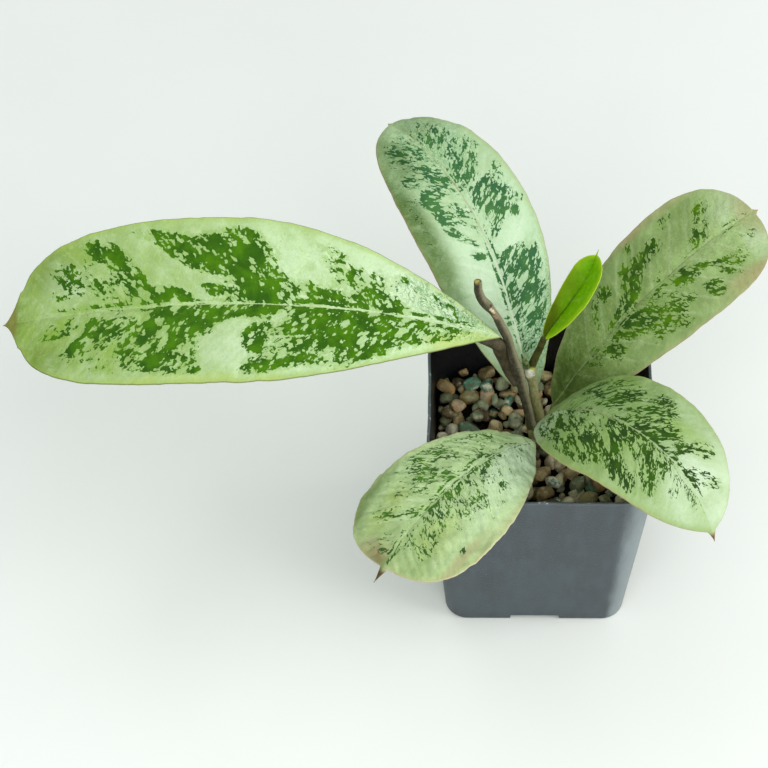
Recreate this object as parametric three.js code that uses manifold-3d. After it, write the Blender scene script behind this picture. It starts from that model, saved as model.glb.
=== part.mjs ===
// Potted hoya: six variegated leaves on two stems in a square nursery pot.
// Millimetres, +Z up, +X to the right, +Y to the back. The plant is laid out about the pot's axis,
// and the finished group is then moved so that the origin is under the middle of its bounding box.
import * as THREE from 'three';
import { mergeVertices } from 'three/addons/utils/BufferGeometryUtils.js';
import Module from 'manifold-3d';

const wasm = await Module();
wasm.setup();

// Driving dimensions
const pot = {
  height: 91,
  topSide: 88,
  baseSide: 72,
  topCorner: 16,
  baseCorner: 9,
  wall: 1.2,
  floor: 1.6,
  footHeight: 3.2,
  channelWidth: 19.3,
  channelFlare: 1.2,
  drainRadius: 3.5,
  drainPlace: 21,
  drainSides: 12,
  cornerSteps: 6,
};
const gap = 0.3;
const mixTop = 58;
const gravelTop = 66;
// Cutting shapes reach this far past the faces that they cut.
const past = 5;

// Stones stand in a jittered grid, sunk a little into the level bed. Their three scales, tilt and
// height are drawn between the two numbers given.
const stones = {
  seed: 41,
  spacing: 7.4,
  rowShare: 0.92,
  jitter: 1.7,
  radius: [3.5, 5.0],
  long: [0.85, 1.2],
  wide: [0.8, 1.1],
  tall: [0.65, 0.85],
  tilt: 0.4,
  height: [-1.4, 1.0],
};

// A stem is a list of [x, y, z, radius] from its buried end up.
const stemOld = [
  [1.5, 3.2, 32, 1.5],
  [-0.4, 3.8, 52, 2.0],
  [-2.1, 4.5, 68.4, 1.9],
  [-4.3, 5.4, 82.8, 1.9],
  [-5.9, 6.0, 90.8, 1.85],
  [-7.4, 6.7, 97.5, 2.0],
  [-8.6, 7.3, 102.8, 2.15],
  [-9.8, 7.9, 108, 2.25],
  [-11.2, 8.5, 113, 2.05],
  [-12.6, 9.4, 118.8, 1.6],
  [-13.9, 10.2, 123.7, 1.75],
  [-15.9, 10.9, 128.5, 1.8],
  [-18.0, 11.7, 133.3, 1.6],
  [-19.9, 12.2, 136.9, 1.5],
  [-21.8, 12.6, 139.7, 1.95],
  [-23.9, 13.0, 142.6, 1.8],
  [-25.4, 13.6, 147, 1.65],
  [-25.8, 14.4, 151.5, 1.5],
];
const stemNew = [
  [4.6, 5.8, 34, 1.3],
  [3.2, 6.5, 56, 1.8],
  [2.2, 7.0, 68, 1.8],
  [-0.1, 8.0, 80, 1.8],
  [-2.2, 8.8, 90, 1.85],
  [-3.6, 9.5, 99, 1.95],
  [-4.4, 9.9, 103, 2.5],
  [-4.7, 10.1, 105.4, 2.2],
];
// The pointed bud beside the young leaf, on top of the green stem.
const bud = [
  [-5.6, 9.7, 104.5, 1.4],
  [-6.3, 9.4, 108.2, 1.35],
  [-6.9, 9.3, 110.8, 1.1],
  [-7.5, 9.2, 112.8, 0.75],
  [-8.3, 9.2, 114.8, 0.3],
];

// Roots: [heading, length] from the foot of each stem, in degrees and millimetres. They start a
// little above the foot and thin out from the first radius to the second.
const rootsOld = [[200, 16], [265, 13], [330, 15]];
const rootsNew = [[15, 15], [75, 13], [130, 14]];
const roots = { drop: 35, above: 2, radius: [1.0, 0.55], bend: 0.7, steps: 4, sides: 6 };
const stemSides = 10;
const budSides = 8;

// Each leaf: base is where the blade leaves its stalk, heading and climb are the midrib's turn and
// slope in degrees at the base, middle and tip. shape is the widest place, the base's taper, the
// fullness and roundness towards the tip, the length of the drawn-out tip and, where the blade runs
// into it in a curve, the width there, all as shares.
// fold lifts both halves by an angle, cup bends the margins (negative is down), skew widens the
// half to the right of the midrib, and stalk lists the points from the stem to the base. ribFrom is
// the share of the blade from which the midrib joins a stalk that meets the blade from below.
const leaves = {
  leaf_left: {
    base: [-16.3, 8.1, 126.3],
    heading: [174, 181, 177],
    climb: [16, 2, -19],
    length: 192.5,
    width: 70.5,
    shape: { widest: 0.57, taper: 1.0, full: 3.15, round: 0.35, tip: 0.04, shoulder: 0.28 },
    twist: [12.5, 12.5],
    fold: 6.3,
    cup: 0.012,
    skew: 0.006,
    thickness: 1.5,
    stalk: [[-8.9, 7.6, 100.4], [-11.6, 10.2, 103.0], [-14.0, 10.6, 109.4], [-15.8, 9.8, 116.5],
      [-17.1, 9.0, 122.1], [-24.2, 9.4, 126.0]],
    stalkRadius: 2.8,
    ribFrom: 0.1,
    color: 0x8fb866,
  },
  leaf_back: {
    base: [-3.5, 13, 82.6],
    heading: [111.5, 126, 136],
    climb: [60.5, 47, -13],
    length: 131.6,
    width: 51.5,
    shape: { widest: 0.63, taper: 0.74, full: 2.1, round: 0.46, tip: 0.012 },
    twist: [4, -3.5],
    fold: 3.5,
    cup: -0.07,
    skew: -0.04,
    thickness: 1.4,
    stalk: [[-3.8, 5.0, 76], [-3.9, 8.8, 76.6], [-3.7, 11.6, 79]],
    stalkRadius: 1.7,
    color: 0x8ec19b,
  },
  leaf_right: {
    base: [5.8, 11.6, 80.3],
    heading: [25, 32.5, 34],
    climb: [60.5, 34.5, 3.5],
    length: 115,
    width: 49.5,
    shape: { widest: 0.72, taper: 0.61, full: 2.4, round: 0.43, tip: 0.02 },
    twist: [-9, -8.5],
    fold: 4.3,
    cup: -0.024,
    skew: 0.033,
    thickness: 1.4,
    stalk: [[1.6, 7.3, 72.2], [3.9, 9.2, 73.0], [5.3, 10.8, 76.4]],
    stalkRadius: 1.6,
    color: 0x93a779,
  },
  leaf_front_right: {
    base: [-0.6, -3.5, 86.8],
    heading: [-39.5, -37.5, -61.5],
    climb: [75, -1, -60],
    length: 109,
    width: 52.5,
    shape: { widest: 0.43, taper: 0.86, full: 2.9, round: 0.71, tip: 0.043 },
    twist: [0.5, -1.5],
    fold: 2.5,
    cup: -0.14,
    skew: 0.007,
    thickness: 1.4,
    stalk: [[0.9, 7.7, 76], [1.3, 3.0, 77.0], [0.3, -1.8, 81.2]],
    stalkRadius: 1.6,
    color: 0x8fb07a,
  },
  leaf_front_left: {
    base: [-2.4, -5.2, 78.6],
    heading: [-138, -128.5, -126.5],
    climb: [38, 7.5, -26],
    length: 103,
    width: 57,
    shape: { widest: 0.73, taper: 0.76, full: 2.2, round: 0.35, tip: 0.065 },
    twist: [3.5, -14.5],
    fold: 4,
    cup: -0.136,
    skew: -0.055,
    thickness: 1.4,
    stalk: [[-3.3, 4.8, 73.6], [-2.7, 1.0, 74.2], [-2.2, -2.6, 75.6]],
    stalkRadius: 1.6,
    color: 0xa9c896,
  },
  leaf_young: {
    base: [0.2, 13, 119.7],
    heading: [29, 46, 67],
    climb: [61, 36, 39.5],
    length: 41,
    width: 15.7,
    shape: { widest: 0.7, taper: 0.65, full: 2.55, round: 0.64, tip: 0.06 },
    twist: [-22.5, 18],
    fold: 33,
    cup: -0.024,
    skew: 0.187,
    thickness: 0.9,
    stalk: [[-4.6, 10.2, 103.8], [-4.1, 10.3, 106.2], [-2.8, 11.2, 110.6], [-1.2, 12.1, 115.0]],
    stalkRadius: 1.7,
    color: 0x6fa50a,
  },
};
// The blades' grid, its crowding towards the round end and the tip, and the width at the tip.
const blade = {
  edge: 0.7,
  rows: 16,
  tipRows: 7,
  columns: 8,
  crowd: 1.25,
  tipCrowd: 1.4,
  tipWidth: 0.16,
  tipPower: 1.5,
  shoulderPower: 1.8,
  least: 0.4,
};
// The midrib goes on from the stalk along the blade's underside, thinning from one share of the
// stalk to a share of the blade's thickness, and ends before the tip.
const rib = {
  sides: 8,
  stalkTaper: 0.25,
  start: 0.75,
  end: 0.4,
  thinsOver: 0.45,
  sinksOver: 0.08,
  sunk: 0.2,
  reach: 0.86,
};

// Solids and meshes
function solid(points, triangles) {
  let volume = 0;
  for (const [a, b, c] of triangles) {
    volume += new THREE.Vector3().crossVectors(points[a], points[b]).dot(points[c]);
  }
  const facing = volume > 0 ? triangles : triangles.map(([a, b, c]) => [a, c, b]);
  const geometry = new THREE.BufferGeometry().setFromPoints(points);
  geometry.setIndex(facing.flat());
  return fromGeometry(geometry);
}

function fromGeometry(geometry) {
  geometry.deleteAttribute('normal');
  geometry.deleteAttribute('uv');
  const merged = mergeVertices(geometry, 1e-5);
  return new wasm.Manifold(new wasm.Mesh({
    numProp: 3,
    vertProperties: new Float32Array(merged.attributes.position.array),
    triVerts: new Uint32Array(merged.index.array),
  }));
}

function toGeometry(body) {
  const { vertProperties, triVerts } = body.getMesh();
  const geometry = new THREE.BufferGeometry();
  geometry.setAttribute('position', new THREE.BufferAttribute(vertProperties, 3));
  geometry.setIndex(new THREE.BufferAttribute(triVerts, 1));
  geometry.computeVertexNormals();
  return geometry;
}

// Cutting can leave loose scraps, so only the body itself is kept.
function largest(body) {
  return body.decompose().sort((a, b) => b.volume() - a.volume())[0];
}

// A closed loft through rings with equal numbers of points, both ends capped from their middles.
function loft(rings) {
  const count = rings[0].length;
  const points = rings.flat();
  const triangles = [];
  for (let row = 0; row < rings.length - 1; row += 1) {
    for (let i = 0; i < count; i += 1) {
      const a = row * count + i;
      const b = row * count + (i + 1) % count;
      triangles.push([a, b, b + count], [a, b + count, a + count]);
    }
  }
  for (const row of [0, rings.length - 1]) {
    const middle = new THREE.Vector3();
    rings[row].forEach((point) => middle.addScaledVector(point, 1 / count));
    points.push(middle);
    for (let i = 0; i < count; i += 1) {
      const a = row * count + i;
      const b = row * count + (i + 1) % count;
      triangles.push(row === 0 ? [b, a, points.length - 1] : [a, b, points.length - 1]);
    }
  }
  return solid(points, triangles);
}

// Level sections of the pot: a square with round corners, lerped from base to rim.
function section(z, inset) {
  const share = z / pot.height;
  const half = THREE.MathUtils.lerp(pot.baseSide, pot.topSide, share) / 2 - inset;
  const corner = THREE.MathUtils.lerp(pot.baseCorner, pot.topCorner, share) - inset;
  const ring = [];
  for (let quarter = 0; quarter < 4; quarter += 1) {
    for (let i = 0; i <= pot.cornerSteps; i += 1) {
      const angle = (quarter + i / pot.cornerSteps) * Math.PI / 2;
      const cx = [1, -1, -1, 1][quarter] * (half - corner);
      const cy = [1, 1, -1, -1][quarter] * (half - corner);
      ring.push(new THREE.Vector3(cx + corner * Math.cos(angle), cy + corner * Math.sin(angle), z));
    }
  }
  return ring;
}

function potBody(bottom, top, inset) {
  return loft([section(bottom, inset), section(top, inset)]);
}

// A trapezoid bar along X or Y, for the drainage channels across the pot's underside.
function bar(bottom, top, bottomWidth, topWidth, along) {
  const reach = pot.topSide;
  const profile = [[-bottomWidth, bottom], [bottomWidth, bottom], [topWidth, top], [-topWidth, top]];
  const ring = (distance) => profile.map(([width, z]) => (along === 'x'
    ? new THREE.Vector3(distance, width / 2, z)
    : new THREE.Vector3(width / 2, distance, z)));
  return loft([ring(-reach), ring(reach)]);
}

function channels(bottom, top, widen) {
  const topWidth = pot.channelWidth + 2 * widen;
  const bottomWidth = topWidth + 2 * pot.channelFlare;
  return bar(bottom, top, bottomWidth, topWidth, 'x').add(bar(bottom, top, bottomWidth, topWidth, 'y'));
}

function drainHole(x, y) {
  const reach = 2 * (pot.footHeight + pot.floor + past);
  const geometry = new THREE.CylinderGeometry(pot.drainRadius, pot.drainRadius, reach, pot.drainSides);
  geometry.rotateX(Math.PI / 2);
  geometry.translate(x, y, 0);
  return fromGeometry(geometry);
}

// The space inside the pot above its floor and over the channels, drawn in by inset.
function cavity(inset, top) {
  const roof = pot.footHeight + pot.floor + inset;
  const space = potBody(pot.floor + inset, top, pot.wall + inset);
  return space.subtract(channels(-past, roof, pot.floor + inset));
}

function makePot() {
  let body = potBody(0, pot.height, 0).subtract(cavity(0, pot.height + past));
  body = body.subtract(channels(-past, pot.footHeight, 0));
  const place = pot.drainPlace;
  const holes = [[0, 0], [place, place], [-place, place], [-place, -place], [place, -place]];
  for (const [x, y] of holes) {
    body = body.subtract(drainHole(x, y));
  }
  return body;
}

// A round limb through [x, y, z, radius] points, its sections square to a smooth path.
function limb(list, steps, sides, grow = 0) {
  const curve = new THREE.CatmullRomCurve3(list.map(([x, y, z]) => new THREE.Vector3(x, y, z)));
  const side = new THREE.Vector3();
  const rings = [];
  for (let i = 0; i <= steps; i += 1) {
    const t = i / steps;
    const place = t * (list.length - 1);
    const before = Math.min(Math.floor(place), list.length - 2);
    const radius = THREE.MathUtils.lerp(list[before][3], list[before + 1][3], place - before) + grow;
    const along = curve.getTangent(t);
    side.set(0, 1, 0.2).cross(along).normalize();
    const up = new THREE.Vector3().crossVectors(along, side);
    const centre = curve.getPoint(t).addScaledVector(along, grow * ((i === steps) - (i === 0)));
    const ring = [];
    for (let k = 0; k < sides; k += 1) {
      const angle = (k / sides) * 2 * Math.PI;
      ring.push(centre.clone()
        .addScaledVector(side, radius * Math.cos(angle))
        .addScaledVector(up, radius * Math.sin(angle)));
    }
    rings.push(ring);
  }
  return loft(rings);
}

function makeRoot(foot, heading, length, grow) {
  const turn = THREE.MathUtils.degToRad(heading);
  const drop = THREE.MathUtils.degToRad(roots.drop);
  const reach = (share, dip) => [
    foot[0] + length * share * Math.cos(turn) * Math.cos(drop),
    foot[1] + length * share * Math.sin(turn) * Math.cos(drop),
    foot[2] + roots.above - length * share * Math.sin(drop) * dip,
    THREE.MathUtils.lerp(...roots.radius, share),
  ];
  return limb([reach(0, 1), reach(0.5, roots.bend), reach(1, 1)], roots.steps, roots.sides, grow);
}

function makeStem(list, rootList, grow = 0) {
  let body = limb(list, 2 * (list.length - 1), stemSides, grow);
  for (const [heading, length] of rootList) {
    body = body.add(makeRoot(list[0], heading, length, grow));
  }
  return body;
}

function makeBud(grow = 0) {
  return limb(bud, 2 * (bud.length - 1), budSides, grow);
}

// Leaves
function threeWay([start, middle, end], s) {
  return start * (1 - s) * (1 - 2 * s) + middle * 4 * s * (1 - s) + end * s * (2 * s - 1);
}

function halfWidth(leaf, s) {
  const { widest, taper, full, round, tip, shoulder = 0 } = leaf.shape;
  const u = Math.min(s / (1 - tip), 1);
  const body = u < widest
    ? Math.sin((Math.PI / 2) * (u / widest)) ** taper
    : (1 - ((u - widest) / (1 - widest)) ** full) ** round;
  const point = blade.tipWidth * Math.min((1 - s) / (2 * tip), 1) ** blade.tipPower
    + shoulder * Math.min((1 - s) / tip, 1) ** blade.shoulderPower;
  return (leaf.width / 2) * Math.max(body, s > widest ? point : 0);
}

// Stations from base to tip, closer together around the round end and along the drawn-out tip.
function stations(leaf) {
  const end = 1 - leaf.shape.tip;
  const list = [];
  for (let i = 0; i < blade.rows; i += 1) {
    list.push(end * Math.sin((i / blade.rows) * Math.PI / 2) ** blade.crowd);
  }
  for (let i = 0; i <= blade.tipRows; i += 1) {
    list.push(end + leaf.shape.tip * (i / blade.tipRows) ** blade.tipCrowd);
  }
  return list;
}

// The midrib's point and its three directions at each station.
function midrib(leaf) {
  const frames = [];
  const place = new THREE.Vector3(...leaf.base);
  const degrees = THREE.MathUtils.degToRad;
  const heading = (s) => {
    const turn = degrees(threeWay(leaf.heading, s));
    const slope = degrees(threeWay(leaf.climb, s));
    return new THREE.Vector3(
      Math.cos(slope) * Math.cos(turn), Math.cos(slope) * Math.sin(turn), Math.sin(slope));
  };
  const steps = 8;
  let last = 0;
  for (const s of stations(leaf)) {
    const step = (s - last) / steps;
    for (let i = 0; i < steps; i += 1) {
      place.addScaledVector(heading(last + step * (i + 0.5)), leaf.length * step);
    }
    last = s;
    const along = heading(s);
    const turn = degrees(threeWay(leaf.heading, s));
    const level = new THREE.Vector3(Math.sin(turn), -Math.cos(turn), 0);
    const above = new THREE.Vector3().crossVectors(level, along);
    const twist = degrees(THREE.MathUtils.lerp(leaf.twist[0], leaf.twist[1], s));
    const side = level.clone().multiplyScalar(Math.cos(twist)).addScaledVector(above, Math.sin(twist));
    const normal = above.multiplyScalar(Math.cos(twist)).addScaledVector(level, -Math.sin(twist));
    frames.push({ s, place: place.clone(), side, normal });
  }
  return frames;
}

// The blade is a grid of rows by columns with an upper and a lower face, both split alike.
function makeBlade(leaf, frames) {
  const points = [];
  const fold = THREE.MathUtils.degToRad(leaf.fold);
  const across = blade.columns + 1;
  for (const layer of [1, -1]) {
    for (const { s, place, side, normal } of frames) {
      const half = Math.max(halfWidth(leaf, s), blade.least);
      for (let j = 0; j < across; j += 1) {
        const v = -1 + (2 * j) / blade.columns;
        const lift = Math.abs(v) * Math.sin(fold) + leaf.cup * v * v;
        const out = v * Math.cos(fold) * (1 + leaf.skew * Math.sign(v));
        const thick = THREE.MathUtils.lerp(leaf.thickness, blade.edge, v * v);
        points.push(place.clone()
          .addScaledVector(side, half * out)
          .addScaledVector(normal, half * lift + layer * thick / 2));
      }
    }
  }
  const under = frames.length * across;
  const triangles = [];
  const wall = (a, b) => triangles.push([b, b + under, a + under], [b, a + under, a]);
  for (let i = 0; i < frames.length - 1; i += 1) {
    for (let j = 0; j < blade.columns; j += 1) {
      const a = i * across + j;
      const b = a + 1;
      const c = a + across;
      const d = c + 1;
      const halves = j < blade.columns / 2 ? [[a, b, c], [b, d, c]] : [[a, b, d], [a, d, c]];
      for (const [p, q, r] of halves) {
        triangles.push([p, q, r], [p + under, r + under, q + under]);
      }
    }
    wall(i * across, (i + 1) * across);
    wall((i + 2) * across - 1, (i + 1) * across - 1);
  }
  for (let j = 0; j < blade.columns; j += 1) {
    const tip = (frames.length - 1) * across + j;
    wall(j + 1, j);
    wall(tip, tip + 1);
  }
  return solid(points, triangles);
}

// Stalk and midrib in one limb, the midrib half sunk in the blade's underside.
function makeRib(leaf, frames) {
  const list = leaf.stalk.map((point, i) => {
    const share = i / leaf.stalk.length;
    return [...point, leaf.stalkRadius * (1 - rib.stalkTaper * share)];
  });
  const from = leaf.ribFrom ?? 0;
  const under = frames.filter(({ s }, i) => i % 2 === 0 && s >= from && s < rib.reach);
  for (const { s, place, normal } of under) {
    const thinned = Math.min(s / rib.thinsOver, 1);
    const radius = THREE.MathUtils.lerp(leaf.stalkRadius * rib.start, leaf.thickness * rib.end, thinned);
    const sunk = Math.min(s / rib.sinksOver, 1) * (leaf.thickness / 2 + radius * rib.sunk);
    list.push([...place.clone().addScaledVector(normal, -sunk).toArray(), radius]);
  }
  return limb(list, 2 * (list.length - 1), rib.sides);
}

function makeLeaf(leaf) {
  const frames = midrib(leaf);
  return makeBlade(leaf, frames).add(makeRib(leaf, frames));
}

// Random numbers from 0 to 1, the same in each run.
function seeded(seed) {
  const modulus = 2147483647;
  const factor = 16807;
  let state = seed;
  return () => {
    state = (state * factor) % modulus;
    return state / modulus;
  };
}

// Gravel: a level bed with a stone over every place of a jittered grid, drawn from a fixed seed.
function makeGravel(clear) {
  const random = seeded(stones.seed);
  const spread = ([low, high]) => THREE.MathUtils.lerp(low, high, random());
  const about = (size) => spread([-size, size]);
  const inside = cavity(gap, gravelTop + 2 * stones.radius[1]);
  const parts = [potBody(mixTop + gap, gravelTop, pot.wall + gap)];
  const half = Math.floor(pot.topSide / 2 / stones.spacing);
  for (let row = -half; row <= half; row += 1) {
    for (let column = -half; column <= half; column += 1) {
      const stone = new THREE.IcosahedronGeometry(spread(stones.radius), 0);
      stone.scale(spread(stones.long), spread(stones.wide), spread(stones.tall));
      stone.rotateX(about(stones.tilt));
      stone.rotateZ(about(Math.PI / 2));
      const x = (column + (row % 2) / 2) * stones.spacing + about(stones.jitter);
      const y = row * stones.spacing * stones.rowShare + about(stones.jitter);
      stone.translate(x, y, gravelTop + spread(stones.height));
      parts.push(fromGeometry(stone));
    }
  }
  let bed = wasm.Manifold.union(parts).intersect(inside);
  for (const body of clear) {
    bed = bed.subtract(body);
  }
  return largest(bed);
}

function makeMix(clear) {
  let body = cavity(gap, mixTop);
  for (const hole of clear) {
    body = body.subtract(hole);
  }
  return body;
}

// Assembly
const plant = new THREE.Group();

function place(name, body, color, roughness) {
  const material = new THREE.MeshStandardMaterial({ color, roughness, metalness: 0 });
  const mesh = new THREE.Mesh(toGeometry(body), material);
  mesh.name = name;
  plant.add(mesh);
}

const clearOld = makeStem(stemOld, rootsOld, gap);
const clearNew = makeStem(stemNew, rootsNew, gap).add(makeBud(gap));

place('pot', makePot(), 0x3c4246, 0.55);
place('growing_mix', makeMix([clearOld, clearNew]), 0x3a2f26, 0.95);
place('gravel', makeGravel([clearOld, clearNew]), 0x9a8a72, 0.8);
place('stem_old', makeStem(stemOld, rootsOld), 0x6a5b4c, 0.7);
place('stem_new', makeStem(stemNew, rootsNew).add(makeBud()).subtract(clearOld), 0x6d7a3c, 0.6);
for (const [name, leaf] of Object.entries(leaves)) {
  const body = largest(makeLeaf(leaf).subtract(clearOld).subtract(clearNew));
  place(name, body, leaf.color, 0.45);
}

const box = new THREE.Box3().setFromObject(plant);
const middle = box.getCenter(new THREE.Vector3());
plant.position.set(-middle.x, -middle.y, -box.min.z);

export default plant;
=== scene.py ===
# Potted hoya: six splashed leaves on two stems in a square nursery pot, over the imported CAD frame.
import math
import random

import bmesh
import bpy
import numpy as np
from mathutils import Matrix, Vector


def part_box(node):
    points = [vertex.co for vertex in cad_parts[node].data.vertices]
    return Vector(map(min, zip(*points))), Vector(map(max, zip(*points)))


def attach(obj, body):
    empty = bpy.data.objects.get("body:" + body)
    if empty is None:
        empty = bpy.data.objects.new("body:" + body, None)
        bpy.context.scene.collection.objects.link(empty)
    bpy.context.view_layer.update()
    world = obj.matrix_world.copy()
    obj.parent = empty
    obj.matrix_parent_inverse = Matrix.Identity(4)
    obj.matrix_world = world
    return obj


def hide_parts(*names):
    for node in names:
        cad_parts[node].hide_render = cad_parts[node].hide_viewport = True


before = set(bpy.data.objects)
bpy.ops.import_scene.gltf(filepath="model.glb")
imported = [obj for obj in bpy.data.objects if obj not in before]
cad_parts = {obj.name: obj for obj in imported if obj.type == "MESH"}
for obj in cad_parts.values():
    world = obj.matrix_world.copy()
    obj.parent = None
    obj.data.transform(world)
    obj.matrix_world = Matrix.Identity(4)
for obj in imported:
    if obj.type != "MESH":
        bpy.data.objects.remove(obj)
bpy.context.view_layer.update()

mm = 0.001
potLow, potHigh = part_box("pot")
potAxis = Vector(((potLow.x + potHigh.x) / 2, (potLow.y + potHigh.y) / 2, 0))
scene = bpy.context.scene


# Places are given in millimetres about the pot's axis, +Z up, +Y to the back.
def spot(x, y, z):
    return potAxis + Vector((x, y, z)) * mm


def spots(rows):
    return np.asarray(rows, dtype=float)[:, :3] * mm + np.array(potAxis)


# A screen colour, 0 to 255, as the linear colour that a shader takes.
def paint(red, green, blue):
    def linear(level):
        level /= 255
        return level / 12.92 if level <= 0.04045 else ((level + 0.055) / 1.055) ** 2.4
    return (linear(red), linear(green), linear(blue), 1)


# Node helpers, for shader trees and geometry trees alike. They build in the tree on the desk, the newest.

desk = {}


# A node's output. Arithmetic on it adds Math nodes.
class Flow:
    def __init__(self, socket):
        self.socket = socket

    def __add__(self, other):
        return calc("ADD", self, other)

    def __radd__(self, other):
        return calc("ADD", other, self)

    def __sub__(self, other):
        return calc("SUBTRACT", self, other)

    def __rsub__(self, other):
        return calc("SUBTRACT", other, self)

    def __mul__(self, other):
        return calc("MULTIPLY", self, other)

    def __truediv__(self, other):
        return calc("DIVIDE", self, other)

    def __rtruediv__(self, other):
        return calc("DIVIDE", other, self)

    def __pow__(self, other):
        return calc("POWER", self, other)

    def __abs__(self):
        return calc("ABSOLUTE", self)


def feed(socket, value):
    if isinstance(value, Flow):
        desk["tree"].links.new(value.socket, socket)
    else:
        socket.default_value = value


def add(kind, inputs=None, **settings):
    made = desk["tree"].nodes.new(kind)
    for setting, value in settings.items():
        setattr(made, setting, value)
    for key, value in (inputs or {}).items():
        feed(made.inputs[key], value)
    return made


# The same, for a node with one output that matters
def get(kind, inputs=None, output=0, **settings):
    return Flow(add(kind, inputs, **settings).outputs[output])


def calc(operation, *values, clamp=False):
    return get("ShaderNodeMath", dict(enumerate(values)), operation=operation, use_clamp=clamp)


def times(vector, factor):
    return get("ShaderNodeVectorMath", {0: vector, "Scale": factor}, operation="SCALE")


def plus(first, second):
    return get("ShaderNodeVectorMath", {0: first, 1: second}, operation="ADD")


def combine(x, y, z=0.0):
    return get("ShaderNodeCombineXYZ", {0: x, 1: y, 2: z})


def split(vector):
    return [Flow(socket) for socket in add("ShaderNodeSeparateXYZ", {0: vector}).outputs]


# A smooth step from 0 at low to 1 at high, or to the given values.
def step(value, low, high, toLow=0.0, toHigh=1.0):
    ends = {"Value": value, "From Min": low, "From Max": high, "To Min": toLow, "To Max": toHigh}
    return get("ShaderNodeMapRange", ends, output="Result", interpolation_type="SMOOTHSTEP")


# Colours of three values are screen colours.
def mix(share, first, second, way="MIX"):
    ends = {0: share, 6: first, 7: second}
    for key in (6, 7):
        if isinstance(ends[key], tuple) and len(ends[key]) == 3:
            ends[key] = paint(*ends[key])
    return get("ShaderNodeMix", ends, output=2, data_type="RGBA", blend_type=way)


# Lays colours over the first one, each where its cover passes from low to high, up to its own share.
def layers(colour, rows):
    for cover, low, high, most, tint in rows:
        colour = mix(step(cover, low, high, 0, most), colour, tint)
    return colour


# Noise about nought, in its own standard deviations.
def grain(vector, size, detail=2.0, rough=0.5, warp=0.0, seed=0.0):
    looks = {"Vector": vector, "W": seed, "Scale": 1 / size, "Detail": detail, "Roughness": rough,
             "Distortion": warp}
    return (get("ShaderNodeTexNoise", looks, output="Fac", noise_dimensions="4D") - 0.5) * 9.0


# The same place, pushed about by noise.
def wobble(vector, size, reach, seed=0.0):
    noise = get("ShaderNodeTexNoise", {"Vector": vector, "W": seed, "Scale": 1 / size, "Detail": 0.8},
                output="Color", noise_dimensions="4D")
    away = get("ShaderNodeVectorMath", {0: noise, 1: (0.5, 0.5, 0.5)}, operation="SUBTRACT")
    return plus(vector, times(away, reach))


def newTree(name, inputs):
    tree = desk["tree"] = bpy.data.node_groups.new(name, "GeometryNodeTree")
    tree.interface.new_socket("Geometry", in_out="INPUT", socket_type="NodeSocketGeometry")
    for label, kind in inputs.items():
        tree.interface.new_socket(label, in_out="INPUT", socket_type="NodeSocket" + kind)
    tree.interface.new_socket("Geometry", in_out="OUTPUT", socket_type="NodeSocketGeometry")
    given = {socket.name: Flow(socket) for socket in add("NodeGroupInput").outputs if socket.name}
    return tree, given, add("NodeGroupOutput").inputs[0]


def attribute(name, kind="FLOAT"):
    return get("GeometryNodeInputNamedAttribute", {"Name": name}, data_type=kind)


def store(geometry, name, value, kind="FLOAT", domain="POINT"):
    return get("GeometryNodeStoreNamedAttribute", {"Geometry": geometry, "Name": name, "Value": value},
               data_type=kind, domain=domain)


def shift(geometry, offset):
    return get("GeometryNodeSetPosition", {"Geometry": geometry, "Offset": offset})


def finishTree(geometry, material, result):
    smooth = get("GeometryNodeSetShadeSmooth", {"Geometry": geometry})
    real = get("GeometryNodeRealizeInstances", {"Geometry": smooth})
    dressed = get("GeometryNodeSetMaterial", {"Geometry": real, "Material": material})
    feed(result, dressed)
    return dressed


# Mesh helpers


def piece(name, mesh):
    made = bpy.data.objects.new(name, mesh)
    scene.collection.objects.link(made)
    return made


# One named number, whole number or vector for each point or face.
def mark(mesh, label, rows, domain="POINT"):
    rows = np.asarray(rows)
    kind, field, size = "FLOAT", "value", np.float32
    if rows.dtype.kind == "i":
        kind, size = "INT", np.int32
    elif rows.ndim > 1:
        kind, field = "FLOAT_VECTOR", "vector"
    mesh.attributes.new(label, kind, domain).data.foreach_set(field, rows.astype(size).ravel())


# A mesh of points, joined in a line where asked, that carries named values for a tree to read.
def seedMesh(name, points, values, inLine=False):
    mesh = bpy.data.meshes.new(name)
    edges = [(i, i + 1) for i in range(len(points) - 1)] if inLine else []
    mesh.from_pydata([tuple(point) for point in points], edges, [])
    for label, rows in values.items():
        mark(mesh, label, rows)
    return piece(name, mesh)


# Runs a tree on a seed object and keeps only the plain mesh that comes of it.
def grow(name, seed, tree, inputs):
    modifier = seed.modifiers.new(tree.name, "NODES")
    modifier.node_group = tree
    for socket in tree.interface.items_tree:
        if socket.in_out == "INPUT" and socket.name in inputs:
            modifier[socket.identifier] = inputs[socket.name]
    graph = bpy.context.evaluated_depsgraph_get()
    mesh = bpy.data.meshes.new_from_object(seed.evaluated_get(graph), depsgraph=graph)
    seed.modifiers.remove(modifier)
    bpy.data.objects.remove(seed)
    mesh.name = name
    faceOut(mesh)
    return piece(name, mesh)


def faceOut(mesh):
    work = bmesh.new()
    work.from_mesh(mesh)
    if work.calc_volume(signed=True) < 0:
        bmesh.ops.reverse_faces(work, faces=work.faces)
        work.to_mesh(mesh)
    work.free()


def join(main, *others):
    with bpy.context.temp_override(active_object=main, selected_editable_objects=[main, *others]):
        bpy.ops.object.join()
    return main


def readVectors(mesh, name):
    flat = np.empty(len(mesh.vertices) * 3, dtype=np.float32)
    mesh.attributes[name].data.foreach_get("vector", flat)
    return flat.reshape(-1, 3)


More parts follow.
